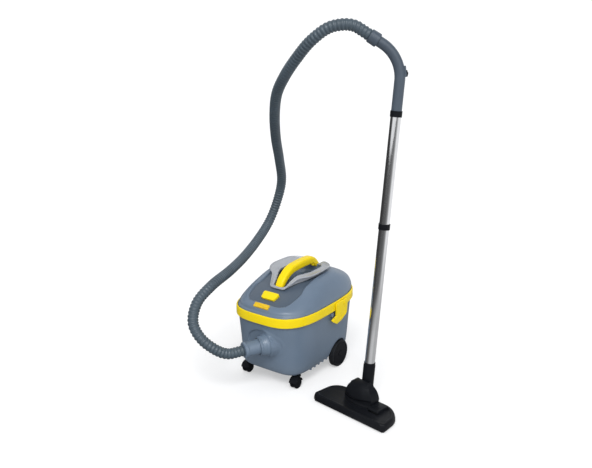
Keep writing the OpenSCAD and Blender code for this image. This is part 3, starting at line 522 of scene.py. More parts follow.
class VACUUM_OT_finishes(bpy.types.Operator):
    """Mixes every finish and paints the solids that stay as they are"""

    bl_idname = "vacuum.finishes"
    bl_label = "Finishes"

    def execute(self, context):
        tint = colours()
        moulded("grey_plastic", tint.shell, 0.34, mottle=0.03, dust=0.25)
        # The dome's sunk front panel gets painted shade
        moulded("dome_plastic", tint.shell, 0.34, mottle=0.03, panel_shade=0.46)
        moulded("yellow_plastic", tint.trim, 0.3, grain=1.2, depth=0.02, mottle=0.025,
                shine=0.22)
        moulded("plate_plastic", tint.plate, 0.3, grain=1.6, depth=0.02, mottle=0.03, shine=0.3)
        moulded("silver_plastic", tint.silver, 0.36, grain=0.5, depth=0.015, mottle=0.04, coat=0.2)
        moulded("handle_plastic", tint.grip, 0.38, grain=0.7, depth=0.04, mottle=0.05)
        moulded("dark_plastic", tint.dark, 0.5, mottle=0.1, shine=0.3)
        moulded("black_plastic", tint.black, 0.34, grain=0.7, depth=0.02, mottle=0.12, dust=0.006,
                shine=0.1)
        moulded("rubber", tint.rubber, 0.6, grain=0.5, depth=0.05, mottle=0.2, dust=0.03,
                shine=0.2)
        moulded("hose_plastic", tint.hose, 0.4, grain=0.8, depth=0.02, mottle=0.08)
        moulded("card", (0.42, 0.29, 0.16), 0.85, grain=0.4, depth=0.05, mottle=0.12)
        moulded("bristle", (0.02, 0.02, 0.022), 0.55, grain=0.3, depth=0.05, mottle=0.3, dust=0.05,
                shine=0.2)
        metal("chrome", tint.chrome, 0.07)
        metal("steel", tint.steel, 0.28, streak=(90, 90, 90), relief=0.01, stain=0.12)
        woven("cloth", tint.cloth, 0.8, 0.12)
        for part in frame["record"]["subparts"]:
            node = part["node"]
            for place in frame["nodes"][node].material_slots:
                place.material = bpy.data.materials[OWN_FINISH.get(node, part["material_slot"])]
        return {"FINISHED"}


# Tones about the wand, as shares of a full turn from -X: on the floor close by, and farther off
NEAR_TONES = [(0, 0.1), (0.1, 0.09), (0.2, 0.2), (0.29, 0.62), (0.4, 0.68), (0.5, 0.5),
              (0.6, 0.56), (0.78, 0.5), (0.86, 0.12), (1, 0.1)]
FAR_TONES = [(0, 0.05), (0.1, 0.05), (0.22, 0.11), (0.34, 0.14), (0.44, 0.3), (0.52, 1),
             (0.8, 1), (0.86, 0.12), (1, 0.05)]
NEAR, FAR = 0.8, 1.9                            # metres from the wand
# Tones of the sky in reflections, from one side of the room to the other
SKY_TONES = [(0, 0.9), (0.3, 0.75), (0.42, 0.1), (0.56, 0.06), (0.66, 0.5), (0.78, 1), (1, 0.95)]
AMBIENT, WHITE = (0.62, 0.63, 0.65, 1), (1, 1, 1, 1)
CAMERA_AT, CAMERA_AIM = (1485.0, -2097.7, 1312.6), (-0.5, 0.3, 482.3)
# Lamps: name, turn in degrees, strength, width in degrees
LAMPS = [("key", (38, 12, 14), 1.5, 24), ("fill", (52, -20, 78), 0.55, 50)]


class VACUUM_OT_stage(bpy.types.Operator):
    """Sets up the camera, the pale floor, the lamps and the background"""

    bl_idname = "vacuum.stage"
    bl_label = "Stage"

    def execute(self, context):
        lens = bpy.data.cameras.new("camera")
        lens.lens, lens.sensor_width = sizes().camera_lens, 36
        camera = bpy.data.objects.new("camera", lens)
        eye, target = point(TUB, *CAMERA_AT), point(TUB, *CAMERA_AIM)
        camera.location = eye
        camera.rotation_euler = (target - eye).to_track_quat("-Z", "Y").to_euler()
        lens.clip_end = 200
        bpy.context.scene.collection.objects.link(camera)
        bpy.context.scene.camera = camera

        for name, turn, strength, width in LAMPS:
            sun = bpy.data.lights.new(name, "SUN")
            sun.energy, sun.angle = strength, math.radians(width)
            lamp = bpy.data.objects.new(name, sun)
            lamp.rotation_euler = [math.radians(a) for a in turn]
            bpy.context.scene.collection.objects.link(lamp)

        bpy.ops.mesh.primitive_plane_add(size=120)
        floor = bpy.context.object
        floor.name = "floor"
        floor.data.materials.append(self.floor_material())
        self.light_world()
        bpy.context.scene.view_settings.view_transform = "Standard"
        return {"FINISHED"}

    def floor_material(self):
        """Pale floor that keeps a soft shadow and is nearly white to the camera"""
        material, tree, shader = new_material("floor")
        mottle = add(tree, "ShaderNodeTexNoise", Vector=object_place(tree), Scale=3.0, Detail=6.0)
        base = blend_colours(tree, mottle.outputs["Fac"], (0.6, 0.6, 0.6, 1), (0.63, 0.63, 0.63, 1))
        fill(tree, shader, {"Base_Color": base, "Roughness": 0.9, "Specular_IOR_Level": 0.1})
        path = tree.nodes.new("ShaderNodeLightPath").outputs
        glow = add(tree, "ShaderNodeEmission", Color=WHITE,
                   Strength=spread(tree, path["Is Camera Ray"], 0, 0.42, 0, 1))
        both = tree.nodes.new("ShaderNodeAddShader")
        tree.links.new(shader.outputs[0], both.inputs[0])
        tree.links.new(glow.outputs[0], both.inputs[1])
        mirrored = add(tree, "ShaderNodeEmission", Color=self.room_tone(tree))
        either = add(tree, "ShaderNodeMixShader", Fac=path["Is Glossy Ray"])
        tree.links.new(both.outputs[0], either.inputs[1])
        tree.links.new(mirrored.outputs[0], either.inputs[2])
        tree.links.new(either.outputs[0], tree.nodes["Material Output"].inputs["Surface"])
        return material

    def room_tone(self, tree):
        """What metal mirrors in the floor: light and dark sides about the wand, near and far"""
        middle = WAND.col[3]
        place = add(tree, "ShaderNodeMapping", Vector=object_place(tree),
                    Location=(-middle.x, -middle.y, 0)).outputs["Vector"]
        parts = add(tree, "ShaderNodeSeparateXYZ", Vector=place).outputs
        turn = compute(tree, "ARCTAN2", parts["Y"], parts["X"])
        share = spread(tree, turn, 0, 1, -math.pi, math.pi)
        away = tree.nodes.new("ShaderNodeVectorMath")
        away.operation = "LENGTH"
        tree.links.new(place, away.inputs[0])
        return blend_colours(tree, spread(tree, away.outputs["Value"], 0, 1, NEAR, FAR),
                             tone_ramp(tree, share, NEAR_TONES), tone_ramp(tree, share, FAR_TONES))

    def light_world(self):
        """White to the camera, with light and dark parts for metal to mirror"""
        world = bpy.data.worlds.new("studio")
        bpy.context.scene.world = world
        world.use_nodes = True
        tree = world.node_tree
        light = tree.nodes["Background"]
        light.inputs["Strength"].default_value = 1.0
        path = tree.nodes.new("ShaderNodeLightPath").outputs
        place = add(tree, "ShaderNodeTexCoord").outputs["Generated"]
        wave = add(tree, "ShaderNodeTexGradient", Vector=add(
            tree, "ShaderNodeMapping", Vector=place, Rotation=(0, 0, math.radians(55)),
            Scale=(0.5, 0.5, 0.5), Location=(0.5, 0, 0)).outputs["Vector"])
        sky = tone_ramp(tree, wave.outputs["Fac"], SKY_TONES)
        tone = blend_colours(tree, path["Is Glossy Ray"], AMBIENT, sky)
        tone = blend_colours(tree, path["Is Transmission Ray"], tone, WHITE)
        tone = blend_colours(tree, path["Is Camera Ray"], tone, WHITE)
        tree.links.new(tone, light.inputs["Color"])


# ---------------------------------------------------------------- hose

# The hose's route between its two straight ends
ROUTE = [
    (-85, -365, 190), (-140, -370, 245), (-165, -325, 300), (-170, -245, 335),
    (-210, -105, 335), (-270, 50, 330), (-315, 190, 350), (-335, 290, 395), (-325, 330, 470),
    (-295, 320, 560), (-250, 245, 665), (-190, 145, 765), (-120, 45, 865), (-55, -30, 950),
    (15, -85, 1015), (80, -115, 1075), (145, -125, 1135), (205, -105, 1175)]


# One rib: share of its pitch, share of the groove's depth
RIB_FORM = ((0.0, 1.0), (0.14, 1.0), (0.27, 0.42), (0.4, 0.03), (0.62, 0.0), (0.77, 0.42),
            (0.9, 1.0))
HOSE_SIDES, BORE_RINGS = 28, 150
GROOVE, CLEAR = 0.0019, 0.0003                  # metres; the hose stands clear of its cuffs
ACROSS_LOOP = Vector((-0.9, 0.36, 0.27))        # the hose's line never runs this way


def hose_line(samples=12):
    """Points along the hose's middle, straight out of both cuffs"""
    tub_way, wand_way = INLET.col[2].to_3d(), HANDLE_END.col[2].to_3d()
    tub_end, wand_end = point(INLET, 0, 0, TUB_CUFF_END), point(HANDLE_END, 0, 0, WAND_CUFF_LEN)
    lead = sizes().hose_diameter
    path = [tub_end, tub_end + lead * tub_way, *(point(TUB, *p) for p in ROUTE),
            wand_end + lead * wand_way, wand_end]
    last = len(path) - 1

    def tangent(i):
        if i <= 1:
            return 1.1 * tub_way * (path[2] - path[1]).length
        if i >= last - 1:
            return -1.1 * wand_way * (path[last - 1] - path[last - 2]).length
        return (path[i + 1] - path[i - 1]) / 2

    line = []
    for i in range(last):
        for k in range(samples):
            t = k / samples
            if i in (0, last - 1):
                line.append(path[i].lerp(path[i + 1], t))
                continue
            line.append((2 * t ** 3 - 3 * t * t + 1) * path[i]
                        + (t ** 3 - 2 * t * t + t) * tangent(i)
                        + (3 * t * t - 2 * t ** 3) * path[i + 1]
                        + (t ** 3 - t * t) * tangent(i + 1))
    return line + [path[last]]


class VACUUM_OT_hose(bpy.types.Operator):
    """Makes the ribbed hose from the inlet to the wand's handle"""

    bl_idname = "vacuum.hose"
    bl_label = "Hose"

    def execute(self, context):
        line = hose_line()
        reach = [0.0]
        for a, b in zip(line, line[1:]):
            reach.append(reach[-1] + (b - a).length)
        length = reach[-1]
        ribs = sizes().hose_ribs
        outside, bore = sizes().hose_diameter / 2, sizes().hose_bore / 2
        state = {"span": 0}

        def ring(s, radius):
            while state["span"] < len(line) - 2 and reach[state["span"] + 1] < s:
                state["span"] += 1
            while state["span"] and reach[state["span"]] > s:
                state["span"] -= 1
            k = state["span"]
            t = (s - reach[k]) / (reach[k + 1] - reach[k])
            middle = line[k].lerp(line[k + 1], t)
            along = (line[min(k + 2, len(line) - 1)] - line[max(k - 1, 0)]).normalized()
            side = along.cross(ACROSS_LOOP).normalized()
            up = along.cross(side)
            return [middle + radius * (math.cos(a) * side + math.sin(a) * up)
                    for a in circle(HOSE_SIDES)]

        rings = []
        for k in range(ribs):
            for share, depth in RIB_FORM:
                s = (k + share) * length / ribs
                if CLEAR < s < length - CLEAR:
                    rings.append(ring(s, outside - GROOVE * depth))
        rings.insert(0, ring(CLEAR, outside - GROOVE))
        rings.append(ring(length - CLEAR, outside - GROOVE))
        rings += [ring(CLEAR + k * (length - 2 * CLEAR) / BORE_RINGS, bore)
                  for k in range(BORE_RINGS, -1, -1)]
        back = TUB.inverted()
        hose = loft("hose_ribbed", [[tuple(back @ p / MM) for p in r] for r in rings], closed=True)
        dress(hose, "machine", "hose_plastic", ["hose"], angle=60)
        return {"FINISHED"}


# ---------------------------------------------------------------- tub

# height share, inset from the band's half width and half length, squareness
TUB_ROWS = [
    (0, 38.5, 60.5, 6), (0.03, 30, 44, 5), (0.09, 24.5, 35, 4.5),
    (0.25, 19, 27.5, 4), (0.6, 13, 17.5, 3.6), (0.94, 6.5, 7.5, 3.3), (1, 6, 7, 3.3)]
WHEEL_Y, WHEEL_Z, ARCH_R, ARCH_IN = 75, 47.5, 54, 111.5
AXLE_BOSS_R, AXLE_SEAT_R, AXLE_BOSS_LEN, AXLE_LEN = 12, 5.02, 14, 11
CASTOR_X, CASTOR_Y = 101.5, -135.5
STEM_SOCKET_R, STEM_BORE_R, STEM_LEN = 11.5, 5.55, 16
INLET_BORE_R, SPIGOT_R = 21, 24
PAST_SIDE = 150                                 # tools along X run out of the tub here
# Collar on the inlet's boss: radius, height
COLLAR = [(0, -46), (38.5, -46), (38.5, -15), (38.2, -10), (37.4, -6.5), (35.8, -4.2),
          (34.6, -1), (34, 3.5), (33.2, 6.3), (31, 8), (0, 8)]
FOOT_RIBS, FOOT_IN, FOOT_Y, FOOT_PITCH = 5, 28, -87, 24      # ribs beside the underside
# Block beside each latch: distance from the middle, then y and z
LUG_LOW, LUG_HIGH = (138, -4, 215.5), (151.5, 6, 228.5)
DISH_AT, DISH_SHAPE = (13, 158), (70, 48)       # middle and proportions of the inlet's hollow
BASE_R, BASE_TOP, BASE_BLEND = 42, -15, 16      # round base under the inlet's collar
SWELL_MOST, SWELL_STEPS = 70, 14                # the rise is found by halving this height
SWELL_BACK, SWELL_SLANT, SWELL_LEAST = -90, 0.3, 0.02
FRONT_Y = -120                                  # the tub's front lies beyond this
FINE_LOW, FINE_HIGH, FINE_HALF_W = 85, 228, 100     # part of the front with finer faces
DISH_EDGE, DISH_SOFTNESS = 1.02, 0.09


def tub_rings(inset, low, high, steps, sides):
    """Rings of the tub's shell, or of its hollow, from its foot to its rim"""
    return [oblong(HALF_W - w - inset, HALF_L - l - inset, n, low + share * (high - low),
                   sides=sides)
            for share, w, l, n in spline(TUB_ROWS, steps)]


def sink(obj, depth_at, matrix=TUB):
    """Pushes a shell's surface in by the depth that depth_at gives for each point"""
    back = matrix.inverted()
    normals = [v.normal.copy() for v in obj.data.vertices]
    for vertex, normal in zip(obj.data.vertices, normals):
        vertex.co -= normal * depth_at(back @ vertex.co / MM) * MM


def dish_depth(p):
    """The soft hollow in the tub's front round the inlet"""
    if p.y > FRONT_Y:
        return 0
    away = math.hypot((p.x - DISH_AT[0]) / DISH_SHAPE[0], (p.z - DISH_AT[1]) / DISH_SHAPE[1])
    return sizes().dish_depth / MM * smooth_step((DISH_EDGE - away) / DISH_SOFTNESS)


def refine_front(obj):
    """Finer faces round the inlet, where the shell swells and dips"""
    only(obj)
    back = TUB.inverted()
    for face in obj.data.polygons:
        p = back @ face.center / MM
        face.select = p.y < FRONT_Y and FINE_LOW < p.z < FINE_HIGH and abs(p.x - INLET_X) < FINE_HALF_W
    bpy.ops.object.mode_set(mode="EDIT")
    bpy.ops.mesh.select_mode(type="FACE")
    bpy.ops.mesh.subdivide(number_cuts=2, smoothness=0)
    bpy.ops.object.mode_set(mode="OBJECT")


def base_distance(p):
    """Distance from the round base under the inlet's collar, in the inlet's frame"""
    side, cap = math.hypot(p.x, p.y) - BASE_R, p.z - BASE_TOP
    return min(max(side, cap), 0) + math.hypot(max(side, 0), max(cap, 0))


def swell(obj):
    """Raises the shell along the inlet's axis into a soft base that runs out into the tub"""
    way, back = INLET.col[2].to_3d(), INLET.inverted()
    normals = [v.normal.copy() for v in obj.data.vertices]
    for vertex, normal in zip(obj.data.vertices, normals):
        p = back @ vertex.co / MM
        if math.hypot(p.x, p.y) > BASE_R + 2 * BASE_BLEND or p.z < SWELL_BACK:
            continue
        slant, low, high = max(normal.dot(way), SWELL_SLANT), 0, SWELL_MOST
        for _ in range(SWELL_STEPS):
            up = (low + high) / 2
            near, base = up * slant, base_distance(p + Vector((0, 0, up)))
            blend = max(BASE_BLEND - abs(near - base), 0) ** 2 / (4 * BASE_BLEND)
            if min(near, base) - blend < 0:
                low = up
            else:
                high = up
        if low > SWELL_LEAST:
            vertex.co += way * low * MM


def axle_frame(s):
    """Frame on a rear wheel's axle, its Z outwards on side s"""
    return TUB @ moved(0, WHEEL_Y, WHEEL_Z) @ turned(90 * s, "Y")


def castor_frame(s):
    """Upright frame on a castor's stem"""
    return TUB @ moved(s * CASTOR_X, CASTOR_Y, 0)


class VACUUM_OT_tub(bpy.types.Operator):
    """Makes the tub: a hollow shell with its inlet boss, wheel arches and sockets"""

    bl_idname = "vacuum.tub"
    bl_label = "Tub"

    def execute(self, context):
        wall = sizes().wall / MM
        tub = loft("tub_shell", tub_rings(0, UNDERSIDE, RIM, 9, 360))
        refine_front(tub)
        sink(tub, dish_depth)
        swell(tub)
        combine(tub, turned_piece("boss", COLLAR, INLET), "UNION")
        hollow = loft("hollow", tub_rings(wall, UNDERSIDE + wall, RIM + 1, 5, 240))
        sink(hollow, dish_depth)
        for s in (-1, 1):
            combine(hollow, cylinder("arch", axle_frame(s), ARCH_R + wall, ARCH_IN - wall,
                                     PAST_SIDE, 96))
            combine(hollow, cylinder("socket", axle_frame(s), AXLE_BOSS_R,
                                     ARCH_IN - wall - AXLE_BOSS_LEN, PAST_SIDE))
            combine(hollow, cylinder("socket", castor_frame(s), STEM_SOCKET_R, UNDERSIDE - 13,
                                     UNDERSIDE + STEM_LEN + 5))
        combine(hollow, cylinder("spigot", INLET, SPIGOT_R, -58, 2))
        combine(tub, hollow)
        for s in (-1, 1):
            self.side(tub, s, wall)
        combine(tub, cylinder("inlet_bore", INLET, INLET_BORE_R, -70, 20, 96))
        combine(tub, cylinder("seal_seat", INLET, SPIGOT_R, 5, 15, 96))
        dress(tub, "machine", "grey_plastic", ["tub"], angle=26)
        return {"FINISHED"}

    def side(self, tub, s, wall):
        """One side's axle socket, foot ribs, latch lug, wheel arch and bores"""
        combine(tub, cylinder("socket", axle_frame(s), AXLE_BOSS_R, ARCH_IN - wall - AXLE_BOSS_LEN,
                              ARCH_IN + 2), "UNION")
        x = s * (HALF_W - FOOT_IN)
        for i in range(FOOT_RIBS):
            y = FOOT_Y + i * FOOT_PITCH
            combine(tub, block("foot_rib", TUB, (x - 4 - s * 3.6, y, UNDERSIDE + 1.5),
                               (x + 4 - s * 3.6, y + 7, UNDERSIDE + 8), 1.4), "UNION")
        near, far = sorted((s * LUG_LOW[0], s * LUG_HIGH[0]))
        combine(tub, block("lug", TUB, (near, *LUG_LOW[1:]), (far, *LUG_HIGH[1:]), 1.6), "UNION")
        arch = cylinder("arch", axle_frame(s), ARCH_R, ARCH_IN, 175, 128)
        combine(arch, cylinder("axle_boss", axle_frame(s), AXLE_BOSS_R, ARCH_IN - 2,
                               ARCH_IN + 0.02))
        combine(tub, arch)
        combine(tub, cylinder("axle_bore", axle_frame(s), AXLE_SEAT_R, ARCH_IN - wall - AXLE_LEN,
                              PAST_SIDE))
        combine(tub, cylinder("castor_bore", castor_frame(s), STEM_BORE_R, UNDERSIDE - 5,
                              UNDERSIDE + STEM_LEN))


# ---------------------------------------------------------------- dome, band and handle

PIN_Y, PIN_Z, PIN_SEAT_R, PIN_BORE_R = 66, 246, 3.02, 3.05     # the latch pins, across the tub

# height share, inset in width, inset in length, squareness, shift to the rear
DOME_ROWS = [
    (0, 5.2, 5.4, 3.3, 0), (0.13, 5.2, 6, 3.3, 0.4), (0.19, 5.4, 8.5, 3.3, 4),
    (0.316, 8.8, 10.2, 3.2, 9), (0.505, 15.6, 32, 3.2, 20), (0.674, 23.3, 64.2, 3.2, 29),
    (0.863, 35, 116.8, 3.3, 36), (0.97, 50, 139.5, 2.8, 43), (1, 68, 160, 2.6, 43)]
DOME_LOW, DOME_HIGH = (corner[2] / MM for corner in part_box("dome"))
# Edge of the sunk front panel, right half: x, y
PANEL_EDGE = [(84, 95), (84.5, -18), (83.5, -64), (87, -84), (91.5, -100), (91.5, -115),
              (88, -137), (84, -155), (77, -168), (63, -178), (49, -181.5), (0, -182)]
PANEL_FOOT, FADE_Y, FADE_LEN, FAR_AWAY = 14, -10, 90, 999
# Silver frame, right half: outer x, y, z and inner x, y, z
FRAME_ROWS = [
    (0, -111, 325, 0, -102, 326), (26, -110, 326, 20, -100, 328), (33, -103, 331, 25, -87, 333),
    (42, -86, 341, 30, -69, 345), (54, -66, 354, 38, -48, 356), (70, -55, 360, 47, -24, 357.5),
    (83, -40, 362, 51.5, 0, 356), (92, -10, 364, 53, 18, 355), (92, 30, 364.5, 53, 40, 355),
    (88, 72, 364, 52, 64, 355), (78, 92, 363, 48, 82, 354), (58, 107, 362, 38, 97, 353),
    (38, 115, 359.5, 22, 105, 349), (22, 113, 350, 13, 107, 346), (0, 113, 346, 0, 107, 343)]
# Section of the frame: distance in from its outer or inner edge, height
OUTER_RIM = [(0.15, -1.2), (0.5, -0.4), (1.2, 0), (3.2, 0), (4, -0.7), (5, -2.4)]
INNER_RIM = [(3.2, -3), (2.5, -1.8), (1.7, -1.1), (0.5, -1.2), (0, -2), (0, -7.4), (0.8, -8)]
# Edge of the hand well, right half: x, y
WELL_EDGE = [
    (0, -99.4), (19.4, -97.8), (25.2, -90), (32.4, -75.2), (42.6, -55.2), (53.8, -35.2),
    (60.8, -16), (64.2, 5), (64.2, 36), (62, 67.2), (54, 84), (38, 98), (20, 106), (0, 108)]
WELL_FLOOR, WELL_Y = 305, 12
# Middle line of the carry handle: y, height over the crown, share of full thickness
GRIP_LINE = [
    (-96, -30, 0.6), (-93, -22, 0.7), (-84, -10.5, 0.8), (-73, 0, 0.84), (-52, 13, 0.93),
    (-37.5, 18.6, 0.98), (-20, 21.5, 1), (22, 23, 1), (66, 22, 1), (84, 18.6, 0.97),
    (98, 10, 0.9), (109, 0, 0.8), (118, -8.5, 0.66), (122, -14, 0.55)]
GRIP_T, GRIP_W = 28, 30
# Round plug in the side of the handle's rear end: radius, distance from the middle
PLUG = [(0, 10), (5.4, 10), (5.4, 12.9), (4.9, 13.4), (3.6, 13.4), (3, 12.6), (0, 12.6)]
PLUG_Y, PLUG_Z, PLUG_SEAT_R = 84, 352, 6.2


def whole_loop(rows, steps):
    """Rows of the right half, carried on all the way round"""
    left = [[-v if k % 3 == 0 else v for k, v in enumerate(row)] for row in rows[-2:0:-1]]
    return spline(rows + left, steps, closed=True)


def well_solid(name, grow, top):
    """The hand well under the carry handle, grown all round"""
    floor = WELL_FLOOR - grow
    rings = []
    for share, z in ((0.70, floor), (0.78, floor + 0.6), (0.84, floor + 2.5), (0.89, floor + 6),
                     (0.96, WELL_FLOOR + 16), (0.99, WELL_FLOOR + 34), (1, top)):
        ring = []
        for x, y in whole_loop(WELL_EDGE, 5):
            way = Vector((x, y - WELL_Y))
            way = way * share + way.normalized() * grow
            ring.append((way.x, WELL_Y + way.y, z))
        rings.append(ring)
    return loft(name, rings)


def dome_rings(inset, steps, sides, drop=False):
    """Rings of the dome's shell, or of its hollow, which lies lower"""
    rings = []
    for share, w, l, n, shift in spline(DOME_ROWS, steps):
        z = DOME_LOW + share * (DOME_HIGH - DOME_LOW)
        if drop:
            z = z - inset if share > 0 else z - 1
        rings.append(oblong(HALF_W - w - inset, HALF_L - l - inset, n, z, shift, sides))
    return rings


def panel_place(p):
    """How far inside the front panel's edge a point lies, and how much the edge has faded out"""
    x, y = abs(p.x), p.y
    if y > PANEL_EDGE[0][1] or p.z < DOME_LOW + PANEL_FOOT:
        return -FAR_AWAY, 0
    nearest, inside = FAR_AWAY, False
    for (ax, ay), (bx, by) in zip(PANEL_EDGE, PANEL_EDGE[1:]):
        t = ((x - ax) * (bx - ax) + (y - ay) * (by - ay)) / ((bx - ax) ** 2 + (by - ay) ** 2)
        t = min(max(t, 0), 1)
        nearest = min(nearest, math.hypot(x - ax - t * (bx - ax), y - ay - t * (by - ay)))
        if (ay - y) * (by - y) <= 0 and ay != by:
            inside = x < ax + (bx - ax) * (y - ay) / (by - ay)
    return nearest if inside else -nearest, 1 - smooth_step((y - FADE_Y) / FADE_LEN)


def panel_depth(p):
    """The front panel lies deeper than the shell round it, and runs out to the rear"""
    away, fade = panel_place(p)
    ridge = 0.9 * math.exp(-((away + 3.4) / 3.2) ** 2)
    return fade * (sizes().panel_depth / MM * smooth_step((away + 1.2) / 3.2) - ridge)


# Outline of the button on the slope, and the seats at the rear
BUTTON, BUTTON_GAP = [(-31, 15.5), (31, 15.5), (26, -14.5), (-26, -14.5)], 0.6
GLAND_AT, GLAND_SEAT_R = (-72, 202.5, 276), 8.02
GRILLE_SEAT = (-48.3, 189.5, 270.7), (48.3, 249.5, 297.3)


class VACUUM_OT_dome(bpy.types.Operator):
    """Makes the dome with its sunk panel, hand well and openings"""

    bl_idname = "vacuum.dome"
    bl_label = "Dome"

    def execute(self, context):
        wall = sizes().wall / MM
        dome = loft("dome_shell", dome_rings(0, 11, 480))
        sink(dome, panel_depth)
        hollow = loft("hollow", dome_rings(wall, 5, 240, drop=True))
        sink(hollow, panel_depth)
        combine(hollow, well_solid("well", wall, DOME_HIGH + 5))
        combine(dome, hollow)
        combine(dome, well_solid("well", 0, DOME_HIGH + 20))
        grown = [(x + math.copysign(BUTTON_GAP, x), y + math.copysign(BUTTON_GAP, y))
                 for x, y in BUTTON]
        combine(dome, prism("recess", grown, SLOPE, -25, 15, corner=5.6))
        combine(dome, cylinder("gland_seat", TUB @ moved(*GLAND_AT) @ turned(-90, "X"),
                               GLAND_SEAT_R, -20, 40))
        combine(dome, block("grille_seat", TUB, *GRILLE_SEAT))
        back = TUB.inverted()
        # How much painted shade each point of the sunk front panel gets, kept as the "panel" attribute
        shares = []
        for vertex in dome.data.vertices:
            away, fade = panel_place(back @ vertex.co / MM)
            shares.append(fade * smooth_step((away + 0.6) / 2.4))
        dome.data.attributes.new("panel", "FLOAT", "POINT").data.foreach_set("value", shares)
        dress(dome, "motor_head", "grey_plastic", ["dome"], angle=24, finish="dome_plastic")
        return {"FINISHED"}


# The band's section: inset, height
BAND_PROFILE = [
    (4, BAND_Z), (2.2, BAND_Z), (0.9, BAND_Z + 0.5), (0.2, BAND_Z + 1.5), (0, BAND_Z + 3),
    (0, BAND_Z + 12), (0, BAND_TOP - 4.6), (0.25, BAND_TOP - 2.2), (1.0, BAND_TOP - 0.7),
    (2.3, BAND_TOP), (3.6, BAND_TOP), (4, BAND_TOP - 0.4)]


class VACUUM_OT_band(bpy.types.Operator):
    """Makes the yellow band with its edges eased"""

    bl_idname = "vacuum.band"
    bl_label = "Band"

    def execute(self, context):
        rings = [oblong(HALF_W - inset, HALF_L - inset, 3.3, z, sides=360)
                 for inset, z in BAND_PROFILE]
        band = loft("band_shell", rings, closed=True)
        for s in (-1, 1):
            combine(band, cylinder("pin_bore", TUB @ moved(0, PIN_Y, PIN_Z) @ turned(90 * s, "Y"),
                                   PIN_SEAT_R, 130, 160))
        dress(band, "motor_head", "yellow_plastic", ["band"])
        return {"FINISHED"}


class VACUUM_OT_handle(bpy.types.Operator):
    """Makes the silver frame and the yellow carry handle in it"""

    bl_idname = "vacuum.handle"
    bl_label = "Carry handle"

    def execute(self, context):
        self.silver_frame()
        self.grip()
        return {"FINISHED"}

    def silver_frame(self):
        """The frame round the hand well, its feet on the dome"""
        dome = loft("dome_form", dome_rings(0, 5, 240))
        back = TUB.inverted()
        tree = BVHTree.FromPolygons([v.co for v in dome.data.vertices],
                                    [p.vertices for p in dome.data.polygons])
        bpy.data.objects.remove(dome)

        def shell_top(x, y):
            hit = tree.ray_cast(point(TUB, x, y, 900), Vector((0, 0, -1)))[0]
            return (back @ hit).z / MM if hit else DOME_LOW

        rings = []
        for row in whole_loop(FRAME_ROWS, 7):
            outer, inner = Vector(row[:3]), Vector(row[3:])
            width = (inner - outer).length
            across = (inner - outer) / width
            section = OUTER_RIM + [(share * width, -2.8 - 1.6 * math.sin(math.pi * share))
                                   for share in (0.45, 0.6, 0.75)]
            section += [(width - inset, z) for inset, z in INNER_RIM]
            ring = [outer + across * a + Vector((0, 0, b)) for a, b in section]
            for share in (0.56, 0.4):
                p = outer.lerp(inner, share)
                under = p - Vector((0, 0, 7.4))
                foot = min(shell_top(p.x, p.y) - 1.2, under.z - 0.2)
                ring += [under, Vector((p.x, p.y, foot))][::1 if share == 0.56 else -1]
            ring += [outer + across * 1.2 + Vector((0, 0, -5)), outer + Vector((0, 0, -4.2))]
            rings.append([tuple(p) for p in ring])
        silver = loft("silver_frame", rings, closed=True)
        weld(silver)
        dress(silver, "motor_head", "silver_plastic", ["handle_frame"], angle=38)

    def grip(self):
        """The carry handle, squarish in section, with a seam along its upper side"""
        rows = spline(GRIP_LINE, 6)
        sides, rings = 88, []
        for i in range(len(rows) - 1, -1, -1):
            y, up, share = rows[i]
            before, after = rows[max(i - 1, 0)], rows[min(i + 1, len(rows) - 1)]
            tilt = math.atan2(after[1] - before[1], after[0] - before[0])
            thick, wide = GRIP_T / 2 * share, GRIP_W / 2 * (0.8 + share / 5)
            ring = []
            for k in range(sides):
                turn = 2 * math.pi * (k + 0.5) / sides
                u = wide * sgn_pow(math.cos(turn), 0.44)
                v = thick * sgn_pow(math.sin(turn), 0.44)
                seam = 0.7 * math.exp(-((v - 0.66 * thick) / 0.9) ** 2)
                u -= math.copysign(seam, u)
                ring.append((u, y - v * math.sin(tilt), DOME_HIGH + up + v * math.cos(tilt)))
            rings.append(ring)
        grip = loft("carry_grip", rings)
        for s in (-1, 1):
            place = TUB @ moved(0, PLUG_Y, PLUG_Z) @ turned(90 * s, "Y")
            combine(grip, cylinder("plug_seat", place, PLUG_SEAT_R, 12.2, 20, 48))
            combine(grip, turned_piece("plug", PLUG, place, 48), "UNION")
        dress(grip, "motor_head", "yellow_plastic", ["carry_handle"], angle=34)


PLATE = [(-29, -8.5), (29, -8.5), (29, 8.5), (-29, 8.5)]
PLATE_FRAME = TUB @ moved(0, -194, 286) @ turned(31, "X") @ moved(0, 0, 1.6)


class VACUUM_OT_button(bpy.types.Operator):
    """Makes the power button and the bare plate below it"""

    bl_idname = "vacuum.button"
    bl_label = "Button and plate"

    def execute(self, context):
        button = prism("power_button_cap", BUTTON, SLOPE, -8, 2, bevel=0.9, corner=6, inset=3,
                       sunk=-0.5)
        plunger = cylinder("plunger", SLOPE, 4, -14, -7, 40)
        join(button, plunger)
        dress(button, "power_button", "yellow_plastic", ["power_button"])
        plate = prism("bare_plate", PLATE, PLATE_FRAME, -3.5, 2, bevel=0.5, corner=1.6, inset=1.5,
                      sunk=-0.45)
        dress(plate, "motor_head", "yellow_plastic", ["name_plate"], finish="plate_plastic")
        return {"FINISHED"}


# Outline of the latch about its pivot: y, z
LATCH = [(-50, 8), (-47, 14), (16, 14), (22, 8), (19.5, -20), (17.5, -38), (11, -44), (-16, -57),
         (-46, -61.5), (-60, -53), (-76, -42), (-75.5, -37), (-60, -34), (-50, -31)]
FINGER_DIP = [(-40, -52), (8, -40), (12, -30), (-36, -40)]


